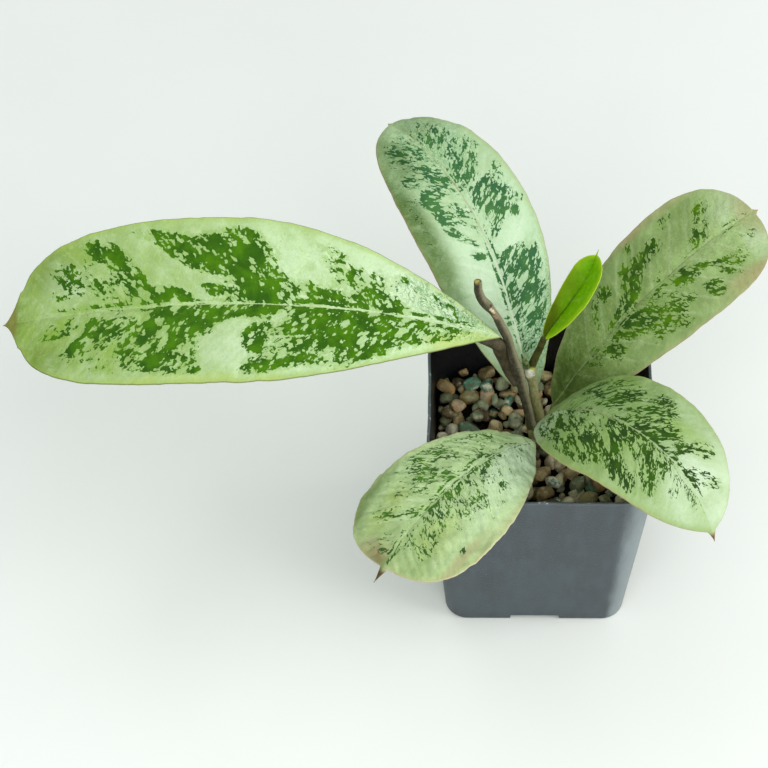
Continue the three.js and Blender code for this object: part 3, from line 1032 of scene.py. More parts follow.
leafLeft = {
    **plainLeaf,
    "name": "leaf_left",
    "base": (-16.3, 8.1, 126.3),
    "heading": (174, 181, 177),
    "climb": (16, 2, -19),
    "length": 192.5,
    "width": 70.5,
    "outline": {"widest": 0.57, "taper": 1.0, "full": 3.15, "round": 0.35, "tip": 0.04, "shoulder": 0.28},
    "twist": (12.5, 12.5),
    "fold": 6.3,
    "cup": 0.012,
    "skew": 0.006,
    "thickness": 1.5,
    "stalk": [[-8.9, 7.6, 100.4], [-11.6, 10.2, 103.0], [-14.0, 10.6, 109.4], [-16.3, 9.8, 116.4],
              [-17.8, 9.0, 121.6], [-24.2, 9.4, 126.0]],
    "stalkRadius": 3.0,
    "flare": 0.6,
    "ribFrom": 0.06,
    "relief": 0.22,
    "seed": 1.0,
    "lean": 0.9,
    "speck": 1.7,
    "cap": 1.9,
    "thread": 0.15,
    "stretch": 0.75,
    "cell": 2.0,
    "hole": 3.4,
    "line": 0.3,
    "open": 0.5,
    "gloss": 0.1,
    "veins": 0.06,
    "faint": 0.4,
    "splashes": [
        (20, -5, 9, 4, 20, 0.4), (37, -8, 9, 7, 20, 0.6), (51, -11, 11, 11, 30, 0.92),
        (75, -8, 17, 9, 0, 0.98), (58, -22, 11, 4, 25, 0.7), (80, -19, 14, 4, 5, 0.5),
        (80, -25, 13, 3.2, 8, 0.8), (95, -16, 6, 7, 0, 1.0), (95, -28, 9, 4, 5, 0.6),
        (100, -3.5, 12, 3, 0, 0.97), (124, -9, 19, 7, 0, 0.98), (130, -21, 11, 7, 20, 0.82),
        (116, -22, 2.5, 6, 0, 0.7), (122, -30, 12, 2, 5, 0.6), (148, -10, 8, 6, 30, 0.62),
        (155, -7, 5, 4, 30, 0.85), (161, -14, 7, 2.2, 45, 0.9), (168, -6, 9, 4, 10, 0.5),
        (171, -9.5, 6, 1.6, 5, 0.85), (148, -21, 12, 7, 30, 0.42), (178, -20, 5, 2.5, 0, 0.5),
        (60, -27, 14, 2, 15, 0.45), (103, -10, 6, 3, 10, -1.0), (107, -22, 8, 9, 0, -1.0),
        (85, -6, 4, 3, 60, -0.8), (79, -14, 9, 1.2, 5, -0.5), (22, 7, 18, 5, 18, 0.42),
        (50, 4, 14, 3.5, 5, 0.62), (40, 15, 4, 2.5, 0, 0.5), (50, 12, 7, 5, 40, 0.45),
        (61, 15, 15, 4.5, 45, 0.56), (71, 6, 11, 3.5, 15, 0.72), (94, 11, 17, 10, 62, 1.0),
        (109, 20, 12, 9, 20, 0.97), (98, 26, 9, 5, 30, 0.62), (122, 23, 9, 6, 25, 0.85),
        (131, 28, 10, 4, 10, 0.5), (111, 6, 8, 3.2, 10, 0.85), (129, 4.5, 13, 3.6, 3, 1.0),
        (142, 13, 14, 5, 55, 0.95), (148, 22, 6, 4, 40, 0.75), (156, 25, 6, 5, 60, 0.62),
        (152, 8, 8, 5, 30, 0.45), (166, 14, 8, 4, 30, 0.45), (168, 7, 8, 2.5, 10, 0.42),
        (150, 1.6, 30, 1.2, 0, 0.6), (92, 13, 4, 2.5, 60, -0.5), (124, 13, 17, 3, 42, -1.0),
        (75, 14, 10, 5, 30, -0.7), (114, 10, 8, 1.6, 10, -0.6), (80, -1.5, 70, 1.4, 0, 0.9),
        (70, 1.7, 62, 0.9, 0, 0.9), (64, -11, 16, 9, 20, 0.6), (48, 7, 12, 5, 30, 0.4),
        (30, -6, 16, 5, 15, 0.4), (84, 6, 8, 4, 30, 0.7), (118, -5, 16, 5, 0, 0.8),
        (136, -16, 12, 7, 30, 0.4), (72, 12, 13, 6, 40, 0.5), (162, 16, 12, 8, 40, 0.35),
        (162, -16, 12, 6, 30, 0.35), (128, -26, 16, 4, 5, 0.5),
    ],
    "washes": {
        "shade": [(176, 20, 12, 9, 0, 0.3), (176, -20, 12, 8, 0, 0.3), (188, 0, 6, 14, 0, 0.3)],
        "light": [(34, 10, 26, 6, 20, 0.3), (166, 12, 9, 9, 30, 0.25), (104, -20, 12, 8, 0, 0.25)],
        "net": [(24, 7, 20, 7, 18, 1.0), (14, -3, 14, 3, 10, 0.6), (110, 0, 80, 30, 0, 0.15)],
        "gold": [(18, -6, 16, 3, 20, 0.6), (120, -33, 40, 2.5, 0, 0.4)],
    },
    "pale": (198, 224, 178),
    "warm": (140, 170, 76),
    "warmFrom": (45, 190),
    "vivid": (74, 124, 6),
    "deep": (46, 90, 12),
    "halo": (128, 170, 66),
    "net": (92, 146, 88),
    "edge": (160, 188, 92),
    "margin": (86, 72, 44),
    "ribColour": ((190, 208, 160), (184, 206, 140)),
    "tipColour": (132, 136, 66),
    "stalkColours": ((54, 48, 32), (84, 76, 56)),
}

leafBack = {
    **plainLeaf,
    "name": "leaf_back",
    "base": (-3.5, 13, 82.6),
    "heading": (111.5, 126, 136),
    "climb": (60.5, 47, -13),
    "length": 131.6,
    "width": 51.5,
    "outline": {"widest": 0.63, "taper": 0.74, "full": 2.1, "round": 0.46, "tip": 0.012},
    "twist": (4, -3.5),
    "fold": 3.5,
    "cup": -0.07,
    "skew": -0.04,
    "stalk": [[-3.8, 5.0, 76], [-3.9, 8.8, 76.6], [-3.7, 11.6, 79]],
    "stalkRadius": 1.7,
    "seed": 7.0,
    "lean": 0.85,
    "speck": 1.2,
    "cap": 1.3,
    "thread": 0.75,
    "stretch": 0.55,
    "hole": 2.9,
    "line": 0.45,
    "faint": 0.3,
    "splashes": [
        (27, 6, 10, 5, 20, 0.4), (36, 13, 10, 7, 30, 0.48), (42, 8, 9, 8, 50, 0.62),
        (54, 11, 9, 8, 60, 0.86), (60, 5, 6, 2.5, 75, 0.8), (74, 9, 10, 2.0, 50, 0.85),
        (83, 9, 8, 8, 50, 0.92), (73, 17, 2.5, 2, 0, 0.8), (77, 22, 2.5, 2, 60, 0.65),
        (59, 18, 4, 1.5, 10, 0.55), (92, 21, 7, 3.5, 40, 0.5), (97, 7, 8, 6, 60, 0.72),
        (101, 13, 9, 4, 65, 0.5), (109, 8, 9, 9, 40, 0.4), (120, 7, 7, 7, 40, 0.36),
        (66, 10, 3, 9, 0, -0.6), (36, -3, 5, 1.5, 10, 0.55), (65, -6, 4, 2.2, 45, 0.85),
        (74, -9, 8, 2.0, 40, 0.72), (80, -4, 7, 4, 30, 0.52), (85, -12, 8, 3.6, 10, 0.95),
        (94, -14, 4, 5, 0, 0.85), (99, -5, 7, 5, 30, 0.78), (103, -15, 4, 3.5, 40, 0.72),
        (115, -7, 11, 7, 20, 0.34), (94, -22, 26, 3, 0, 0.36), (56, -19, 20, 3, 8, 0.2),
        (108, 0, 18, 18, 0, 0.2), (52, -1.5, 10, 1, 0, 0.5), (32, 6, 12, 6, 20, 0.3),
        (40, 17, 8, 3, 20, 0.4), (48, 4, 14, 4, 20, 0.5), (68, 3, 6, 2, 50, 0.6),
        (80, 13, 12, 8, 40, 0.45), (88, -7, 12, 5, 20, 0.4), (114, -12, 12, 8, 20, 0.32),
        (45, 1.5, 26, 0.9, 0, 0.8), (50, -1.5, 26, 0.9, 0, 0.7),
    ],
    "washes": {
        "shade": [
            (84, -24, 44, 7.5, 4, 1.0), (116, -14, 16, 8, 0, 0.6), (124, 6, 10, 12, 0, 0.35),
            (12, 0, 14, 9, 0, 0.5),
        ],
        "light": [(66, 12, 9, 4, 55, 0.3), (52, -8, 22, 7, 8, 0.3)],
        "net": [
            (24, 8, 16, 8, 15, 1.0), (40, 18, 14, 4, 15, 0.8), (112, 0, 20, 20, 0, 0.6),
            (90, -22, 30, 4, 0, 0.5),
        ],
    },
    "pale": (184, 212, 176),
    "warm": (158, 184, 132),
    "warmFrom": (50, 140),
    "vivid": (68, 116, 58),
    "deep": (50, 96, 60),
    "halo": (142, 178, 128),
    "net": (88, 146, 104),
    "edge": (156, 178, 122),
    "margin": (150, 128, 104),
    "ribColour": ((200, 214, 190), (150, 138, 106)),
    "tipColour": (150, 140, 96),
    "stalkColours": ((104, 108, 64), (132, 140, 84)),
}

leafRight = {
    **plainLeaf,
    "name": "leaf_right",
    "base": (5.8, 11.6, 80.3),
    "heading": (25, 32.5, 34),
    "climb": (60.5, 34.5, 3.5),
    "length": 115,
    "width": 49.5,
    "outline": {"widest": 0.72, "taper": 0.61, "full": 2.4, "round": 0.43, "tip": 0.02},
    "twist": (-9, -8.5),
    "fold": 4.3,
    "cup": -0.024,
    "skew": 0.033,
    "stalk": [[1.6, 7.3, 72.2], [3.9, 9.2, 73.0], [5.3, 10.8, 76.4]],
    "relief": 0.3,
    "ripple": 0.6,
    "seed": 12.0,
    "lean": 0.75,
    "speck": 1.15,
    "strand": 1.1,
    "veins": 0.17,
    "splashes": [
        (32, 5, 10, 5, 15, 0.38), (38, 8, 4, 6, 30, 0.5), (49, 5.5, 12, 5, 12, 0.93),
        (57, 13, 6, 5, 60, 0.78), (65, 13, 5, 5, 60, 0.72), (52, 16, 3, 2, 0, 0.6),
        (74, 4, 11, 2.6, 14, 0.95), (86, 8, 7, 2, 25, 0.6), (81, 17, 5, 4, 50, 0.76),
        (64, 20, 4, 2, 10, 0.5), (91, 13, 5, 4.5, 50, 0.76), (98, 12, 4, 4, 30, 0.55),
        (105, 7, 5, 3, 20, 0.45), (95, 20, 6, 3, 20, 0.36), (72, 13, 3, 2.5, 40, 0.5),
        (60, 10, 16, 12, 0, 0.2), (46, -2.6, 12, 1.8, 14, 0.8), (40, -9, 7, 2, 55, 0.66),
        (48, -13, 4, 4, 0, 0.8), (56, -7, 9, 3.4, 40, 0.86), (61, -12, 5, 4.5, 50, 0.78),
        (68, -12, 5, 3.4, 20, 0.82), (74, -13, 4, 3.5, 50, 0.64), (66, -19.5, 3, 2, 60, 0.7),
        (83, -18, 4, 2.5, 10, 0.55), (67, -2.5, 3, 2.5, 60, 0.66), (90, -5, 6, 3.6, 30, 0.72),
        (97, -13, 5, 3, 20, 0.76), (104, -1.6, 5, 1, 0, 0.7), (25, -7, 12, 6, 20, 0.34),
        (80, -10, 26, 10, 0, 0.16), (30, 3, 16, 3, 5, 0.35), (70, 6, 16, 3, 20, 0.4),
        (56, -3, 10, 2, 30, 0.5),
    ],
    "washes": {
        "shade": [(8, 0, 20, 16, 0, 0.8), (45, -20, 22, 4, 8, 0.4), (80, -14, 26, 10, 0, 0.35)],
        "light": [(104, -8, 8, 8, 0, 0.2), (106, 12, 6, 8, 0, 0.3)],
        "net": [(30, 0, 26, 20, 0, 0.6), (85, 0, 30, 22, 0, 0.4)],
        "blush": [(96, 22, 16, 4, 0, 0.5), (74, -23, 30, 2.5, 0, 0.5), (110, 0, 5, 10, 0, 0.4)],
    },
    "pale": (160, 186, 124),
    "warm": (104, 130, 60),
    "warmFrom": (118, 5),
    "vivid": (80, 122, 6),
    "deep": (44, 78, 24),
    "halo": (132, 166, 84),
    "net": (104, 122, 70),
    "edge": (164, 180, 124),
    "margin": (160, 132, 108),
    "ribColour": ((120, 136, 90), (98, 98, 74)),
    "tipColour": (176, 130, 112),
    "stalkColours": ((96, 104, 56), (120, 132, 72)),
}

leafFrontRight = {
    **plainLeaf,
    "name": "leaf_front_right",
    "base": (-0.6, -3.5, 86.8),
    "heading": (-39.5, -37.5, -61.5),
    "climb": (75, -1, -60),
    "length": 109,
    "width": 52.5,
    "outline": {"widest": 0.43, "taper": 0.86, "full": 2.9, "round": 0.71, "tip": 0.043},
    "twist": (0.5, -1.5),
    "fold": 2.5,
    "cup": -0.14,
    "skew": 0.007,
    "stalk": [[0.9, 7.7, 76], [1.3, 3.0, 77.0], [0.3, -1.8, 81.2]],
    "seed": 21.0,
    "lean": 1.0,
    "speck": 0.95,
    "stretch": 0.42,
    "hole": 2.5,
    "open": 0.62,
    "gloss": 0.07,
    "veins": 0.1,
    "splashes": [
        (18, 8, 9, 8, 50, 0.55), (33, 12, 14, 11, 60, 0.68), (46, 16, 8, 8, 60, 0.85),
        (54, 8, 9, 6, 50, 0.66), (57, 16, 7, 5, 50, 0.7), (66, 20.5, 8, 4, 10, 0.78),
        (67, 7, 6, 5, 45, 0.62), (74, 14, 6, 3.5, 40, 0.66), (78, 5.5, 9, 4.5, 20, 0.68),
        (88, 3, 6, 2.5, 10, 0.5), (50, 1.3, 24, 1.2, 0, 0.8), (60, 12, 6, 2, 30, -0.5),
        (30, -8, 14, 9, 60, 0.5), (32, -16, 8, 5, 30, 0.42), (44, -11, 10, 6, 65, 0.72),
        (55, -9, 11, 6, 70, 0.7), (55, -21, 5, 3, 50, 0.5), (64, -6, 8, 4, 60, 0.72),
        (72, -5, 8, 2.6, 55, 0.7), (78, -13, 6, 4, 40, 0.66), (84, -4, 8, 3.6, 45, 0.68),
        (61, -15, 5, 5, 60, 0.6), (70, -1, 22, 1, 0, 0.75), (90, -9, 5, 4, 40, 0.35),
        (24, 4, 12, 4, 30, 0.5), (46, 4, 10, 3, 40, 0.6), (40, -14, 10, 6, 65, 0.4),
        (60, -3, 12, 3, 30, 0.6), (62, 10, 13, 8, 40, 0.4),
    ],
    "washes": {
        "light": [(88, -9, 18, 14, 0, 0.55), (84, 6, 12, 6, 10, 0.4), (8, 7, 18, 14, 0, 0.45)],
        "net": [(40, 0, 40, 24, 0, 0.5)],
        "gold": [(72, -12, 14, 6, 10, 0.6), (30, -19, 16, 4, 10, 0.4), (48, 12, 30, 14, 0, 0.35)],
    },
    "paints": {"gold": (136, 168, 74)},
    "pale": (168, 192, 146),
    "warm": (118, 142, 80),
    "warmFrom": (96, 20),
    "vivid": (54, 90, 18),
    "deep": (40, 68, 24),
    "halo": (126, 164, 88),
    "net": (108, 144, 76),
    "edge": (142, 168, 96),
    "margin": (168, 152, 112),
    "ribColour": ((130, 140, 88), (184, 200, 160)),
    "tipColour": (118, 78, 52),
    "stalkColours": ((104, 108, 60), (136, 142, 86)),
}

leafFrontLeft = {
    **plainLeaf,
    "name": "leaf_front_left",
    "base": (-2.4, -5.2, 78.6),
    "heading": (-138, -128.5, -126.5),
    "climb": (38, 7.5, -26),
    "length": 103,
    "width": 57,
    "outline": {"widest": 0.73, "taper": 0.76, "full": 2.2, "round": 0.35, "tip": 0.065},
    "twist": (3.5, -14.5),
    "fold": 4,
    "cup": -0.136,
    "skew": -0.055,
    "stalk": [[-3.3, 4.8, 73.6], [-2.7, 1.0, 74.2], [-2.2, -2.6, 75.6]],
    "relief": 0.5,
    "ripple": 0.7,
    "seed": 31.0,
    "speck": 0.9,
    "ground": -1.9,
    "cap": 0.35,
    "thread": 0.6,
    "stretch": 0.4,
    "cell": 1.5,
    "hole": 2.4,
    "strand": 1.5,
    "line": 0.3,
    "open": 0.45,
    "veins": 0.2,
    "splashes": [
        (20, 8, 10, 5, 25, 0.56), (34, 4, 9, 3.5, 15, 0.5), (44, 14, 8, 5, 35, 0.5),
        (53, 8, 9, 6, 40, 0.6), (56, 20, 7, 6, 50, 0.4), (62, 8, 4, 4, 50, 0.55), (74, 6, 8, 3, 55, 0.8),
        (78, 14, 5, 4, 50, 0.6), (36, 20, 10, 4, 10, 0.3), (91, 7, 7, 8, 0, 0.42),
        (66, 22, 3, 3, 50, 0.5), (52, 1.6, 36, 1.1, 0, 0.85), (10, -3, 9, 3.5, 10, 0.6),
        (24, -6, 9, 5, 25, 0.45), (37, -6, 6, 5, 30, 0.6), (39, -14.5, 3.4, 2.2, 0, 1.0),
        (46, -5, 7, 5, 40, 0.5), (54, -3, 10, 2, 0, 0.9), (54, -13, 6, 5, 50, 0.6),
        (65, -9, 9, 8, 40, 0.4), (74, -6, 9, 4.5, 40, 0.5), (49, -20, 2.5, 2, 0, 0.75),
        (77, -23, 2, 1.4, 0, 1.0), (82, -14, 4, 4, 30, 0.45), (60, -1.4, 38, 1.1, 0, 0.95),
        (56, -10, 36, 13, 0, 0.3), (46, 12, 34, 11, 0, 0.32), (30, 12, 12, 6, 40, 0.35),
        (48, 18, 6, 5, 50, 0.35), (66, 12, 6, 5, 50, 0.35), (58, -7, 12, 6, 40, 0.2),
        (44, 14, 16, 9, 30, 0.25), (84, -7, 10, 6, 40, 0.42), (87, 4, 6, 4, 0, 0.4),
    ],
    "washes": {
        "shade": [(80, 24.5, 24, 3.8, 0, 0.65), (14, 12, 15, 8, 20, 0.15), (97, 2, 5, 6, 0, 0.5)],
        "light": [(22, -8, 26, 10, 15, 0.8), (60, -18, 25, 5, 0, 0.3)],
        "gold": [(97, 10, 3, 2.5, 0, 1.0), (76, -12, 12, 8, 0, 0.3), (74, 14, 12, 5, 0, 0.4)],
        "net": [(60, 0, 50, 30, 0, 0.5)],
        "blush": [(95, 8, 8, 7, 60, 0.9), (82, -24.5, 18, 2, 0, 0.5), (60, -27, 20, 1.5, 6, 0.25)],
    },
    "paints": {"light": (220, 244, 210)},
    "pale": (184, 208, 158),
    "warm": (158, 182, 122),
    "warmFrom": (50, 100),
    "vivid": (76, 124, 30),
    "deep": (52, 84, 46),
    "halo": (156, 188, 120),
    "net": (142, 176, 104),
    "edge": (184, 196, 138),
    "margin": (200, 184, 154),
    "ribColour": ((176, 196, 158), (132, 146, 104)),
    "tipColour": (92, 72, 46),
    "stalkColours": ((104, 104, 60), (136, 138, 84)),
}

leafYoung = {
    **plainLeaf,
    "name": "leaf_young",
    "base": (0.2, 13, 119.7),
    "heading": (29, 46, 67),
    "climb": (61, 36, 39.5),
    "length": 41,
    "width": 15.7,
    "outline": {"widest": 0.7, "taper": 0.65, "full": 2.55, "round": 0.64, "tip": 0.06},
    "twist": (-22.5, 18),
    "fold": 33,
    "cup": -0.024,
    "skew": 0.187,
    "thickness": 0.9,
    "stalk": [[-4.6, 10.2, 103.8], [-4.1, 10.3, 106.2], [-2.8, 11.2, 110.6], [-1.2, 12.1, 115.0]],
    "stalkRadius": 1.75,
    "relief": 0.08,
    "ripple": 0.1,
    "seed": 41.0,
    "speck": 4.0,
    "ground": -4.5,
    "cap": 0.0,
    "thread": 0.0,
    "cell": 4.0,
    "hole": 8.0,
    "strand": 0.0,
    "line": 0.6,
    "open": 0.0,
    "faint": 0.0,
    "splashes": [],
    # Here gold darkens the left half, the half turned from the light: painted shade. Blush darkens the
    # base, and light lays a pale line along the left margin.
    "washes": {
        "blush": [(0, -1, 11, 6, 0, 1.0), (9, -4, 9, 3.5, 0, 0.7)],
        "gold": [(20, -5, 24, 5.5, 0, 0.9)],
        "light": [(24, -7.2, 22, 0.9, 0, 0.8)],
    },
    "paints": {"gold": (90, 122, 0), "blush": (62, 70, 0), "light": (186, 206, 110)},
    "pale": (104, 168, 0),
    "warm": (98, 150, 0),
    "warmFrom": (41, 0),
    "vivid": (84, 140, 8),
    "deep": (84, 132, 8),
    "halo": (112, 170, 14),
    "net": (112, 170, 14),
    "edge": (160, 200, 30),
    "margin": (176, 204, 60),
    "ribColour": ((56, 84, 4), (72, 116, 8)),
    "tipColour": (90, 132, 10),
    "stalkColours": ((42, 46, 8), (76, 76, 22)),
    "marks": [((-3.9, 9.0, 105.6), 0.6, 2.6, (186, 186, 84))],
}


# A value along the leaf, through the ones at its base, middle and tip.
def alongLeaf(values, share):
    start, middle, end = values
    rest = 1 - share
    return start * rest * (1 - 2 * share) + middle * 4 * share * rest + end * share * (2 * share - 1)


# The midrib's places, in millimetres about the pot's axis, with its side and lift directions.
def midrib(leaf, share):
    between = (share[1:] + share[:-1]) / 2

    def direction(at):
        heading = np.radians(alongLeaf(leaf["heading"], at))
        climb = np.radians(alongLeaf(leaf["climb"], at))
        flat = np.cos(climb)
        return heading, np.stack([flat * np.cos(heading), flat * np.sin(heading), np.sin(climb)], axis=1)

    strides = direction(between)[1] * (leaf["length"] * np.diff(share))[:, None]
    points = np.vstack([[0, 0, 0], np.cumsum(strides, axis=0)]) + np.array(leaf["base"])
    heading, ahead = direction(share)
    level = np.stack([np.sin(heading), -np.cos(heading), 0 * heading], axis=1)
    upright = np.cross(level, ahead)
    start, end = leaf["twist"]
    twist = np.radians(start + (end - start) * share)[:, None]
    side = level * np.cos(twist) + upright * np.sin(twist)
    lift = upright * np.cos(twist) - level * np.sin(twist)
    return points, side, lift


# Half the blade's width at each share of its length, as a share of the widest.
def fullness(outline, share):
    tip, widest = outline["tip"], outline["widest"]
    body = np.clip(share / (1 - tip), 0, 1)
    rising = np.sin(math.pi / 2 * np.clip(body / widest, 0, 1)) ** outline["taper"]
    fall = np.clip((body - widest) / (1 - widest), 0, 1) ** outline["full"]
    falling = (1 - fall) ** outline["round"]
    main = np.where(body < widest, rising, falling)
    spike = blade["spike"] * np.clip((1 - share) / (2 * tip), 0, 1) ** blade["spikePower"]
    toEnd = np.clip((1 - share) / tip, 0, 1)
    shoulder = outline.get("shoulder", 0.0) * toEnd ** blade["shoulderPower"]
    spike = np.where(share > widest, spike + shoulder, 0)
    blend = 0.05 * smoothStep(share, 1 - 2.5 * tip, 1 - tip) * toEnd
    return (main + spike + np.sqrt((main - spike) ** 2 + blend ** 2)) / 2


def bladeShares(outline):
    t = np.linspace(0, 1, blade["bodyRows"])
    even = blade["evenShare"]
    body = (even * t + (1 - even) * np.sin(math.pi / 2 * t)) * (1 - outline["tip"])
    tip = np.linspace(1 - outline["tip"], 1, blade["tipRows"] + 1)[1:]
    return np.concatenate([body, tip])


def bladeTree():
    tree, given, result = newTree("Blade", {
        "Ring": "Int", "Crowd": "Float", "Thickness": "Float", "Fold": "Float", "Cup": "Float",
        "Skew": "Float", "Relief": "Float", "Ripple": "Float", "Lean": "Float", "Groove": "Float",
        "Seed": "Float", "Upper": "Material", "Under": "Material"})
    seed = given["Geometry"]
    rows = get("GeometryNodeAttributeDomainSize", {0: seed}, output="Point Count")
    grid = get("GeometryNodeMeshGrid", {"Size X": 1.0, "Size Y": 1.0, "Vertices Y": rows,
                                        "Vertices X": given["Ring"] + 1.0})
    x, y = split(get("GeometryNodeInputPosition"))[:2]
    turn = (x + 0.5) * math.tau
    row = calc("ROUND", (y + 0.5) * (rows - 1.0))

    def sample(name, kind="FLOAT"):
        source = attribute(name, kind) if name else get("GeometryNodeInputPosition")
        inputs = {"Geometry": seed, "Value": source, "Index": row}
        return get("GeometryNodeSampleIndex", inputs, data_type=kind)

    half = sample("half")
    along = sample("along")
    cosine = calc("COSINE", turn)
    sign = calc("SIGN", cosine)
    part = abs(cosine) ** given["Crowd"]  # 0 at the midrib, 1 at the margin
    squared = part * part
    face = calc("SIGN", calc("SINE", turn))

    fold = calc("RADIANS", given["Fold"])
    skewed = 1.0 + given["Skew"] * sign
    reach = sign * part * half * skewed
    edgeNoise = grain(combine(along, sign * 40.0), 9.0, seed=given["Seed"])
    wander = edgeNoise * blade["edgeWander"] * (sign * part ** 3.0)
    small = step(half, 1.0, 8.0)
    across = reach + wander * small

    soft = calc("SQRT", squared + 0.0009) - 0.03
    rise = (soft * calc("SINE", fold) + squared * given["Cup"]) * half

    gap = half * (1.0 - part)
    edge = calc("MAXIMUM", calc("MINIMUM", half * 0.6, blade["edgeRound"]), 0.0001)
    inward = calc("DIVIDE", gap, edge, clamp=True)
    rounded = calc("SQRT", inward * (2.0 - inward))
    thin = given["Thickness"] + squared * (blade["edgeThickness"] - given["Thickness"])
    thin = thin * step(half, 0.0, 3.0, 0.35, 1.0)
    body = thin * 0.5 * rounded * face

    flat = combine(along, reach)
    broad = grain(flat, 11.0, seed=given["Seed"])
    fine = grain(flat, 3.6, seed=given["Seed"])
    offset = abs(reach)
    vein = along - given["Lean"] * offset
    wave = calc("SINE", vein * (math.tau / blade["puffGap"]) + broad * 0.6)
    puff = abs(wave) * step(gap, 1.0, 7.0) * step(offset, 1.0, 6.0)
    relief = (broad + fine * 0.45 + puff * 0.9) * given["Relief"] * small
    rippleNoise = grain(combine(along, sign * 30.0), 15.0, 1, seed=given["Seed"])
    ripple = rippleNoise * given["Ripple"] * (squared * squared * small)
    dip = calc("EXPONENT", reach * reach * -0.9) * given["Groove"] * small * calc("MAXIMUM", face, 0.0)

    height = rise + body + relief + ripple * 0.4 - dip
    flatOut = across * calc("COSINE", fold)
    sideways = times(sample("side", "FLOAT_VECTOR"), flatOut * mm)
    upwards = times(sample("lift", "FLOAT_VECTOR"), height * mm)
    place = plus(sample("", "FLOAT_VECTOR"), plus(sideways, upwards))

    marked = store(grid, "flat", flat, "FLOAT_VECTOR")
    marked = store(marked, "lower", calc("GREATER_THAN", x, 0.0), "BOOLEAN", "FACE")
    shaped = get("GeometryNodeSetPosition", {"Geometry": marked, "Position": place})
    closed = get("GeometryNodeMergeByDistance", {"Geometry": shaped, "Distance": 1e-6})
    dressed = finishTree(closed, given["Upper"], result)
    under = get("GeometryNodeSetMaterial", {"Geometry": dressed, "Material": given["Under"],
                                            "Selection": attribute("lower", "BOOLEAN")})
    feed(result, under)
    return tree


bladeMaker = bladeTree()


# How far each place on the flattened blade is from the margin.
def marginGap(leaf, flat):
    share = np.linspace(0, 1, blade["marginRows"]) ** blade["marginCrowd"]
    half = fullness(leaf["outline"], share) * leaf["width"] / 2
    gap = np.full(len(flat), 1e9)
    for sign in (1, -1):
        line = np.stack([share * leaf["length"], sign * half * (1 + leaf["skew"] * sign)], axis=1)
        start, along = line[:-1], np.diff(line, axis=0)
        size = np.maximum((along ** 2).sum(axis=1), 1e-12)
        for first in range(0, len(flat), blade["batch"]):
            span = slice(first, first + blade["batch"])
            part = flat[span, None, :2] - start[None]
            t = np.clip((part * along).sum(axis=2) / size, 0, 1)
            far = np.linalg.norm(part - t[..., None] * along, axis=2).min(axis=1)
            gap[span] = np.minimum(gap[span], far)
    return gap


# How far each place is covered by patches, from 0 to 1, each an ellipse that slants out from the midrib.
def covered(patches, flat):
    x, y = flat[:, 0], flat[:, 1]
    free = np.ones(len(flat))
    for px, py, length, width, slant, weight in patches:
        sign = 1 if py > 0 else -1 if py < 0 else np.where(y < 0, -1, 1)
        angle = math.radians(slant)
        dx, dy = x - px, (y - py) * sign
        a = (dx * math.cos(angle) + dy * math.sin(angle)) / length
        b = (dy * math.cos(angle) - dx * math.sin(angle)) / width
        side = smoothStep(y * sign, -0.6, 0.4) if py else 1
        free *= 1 - abs(weight) * np.exp(-(a * a + b * b) ** 1.8) * side
    return 1 - free


# How strongly each place is splashed, in standard deviations of the pattern's noise.
def splashed(leaf, flat, gap):
    dark = covered([patch for patch in leaf["splashes"] if patch[-1] > 0], flat)
    bare = covered([patch for patch in leaf["splashes"] if patch[-1] < 0], flat)
    margin = 1 - smoothStep(gap, *blade["marginReach"])
    level = leaf["ground"] + (leaf["cap"] - leaf["ground"]) * dark
    return level - blade["bareDrop"] * bare - blade["marginDrop"] * margin


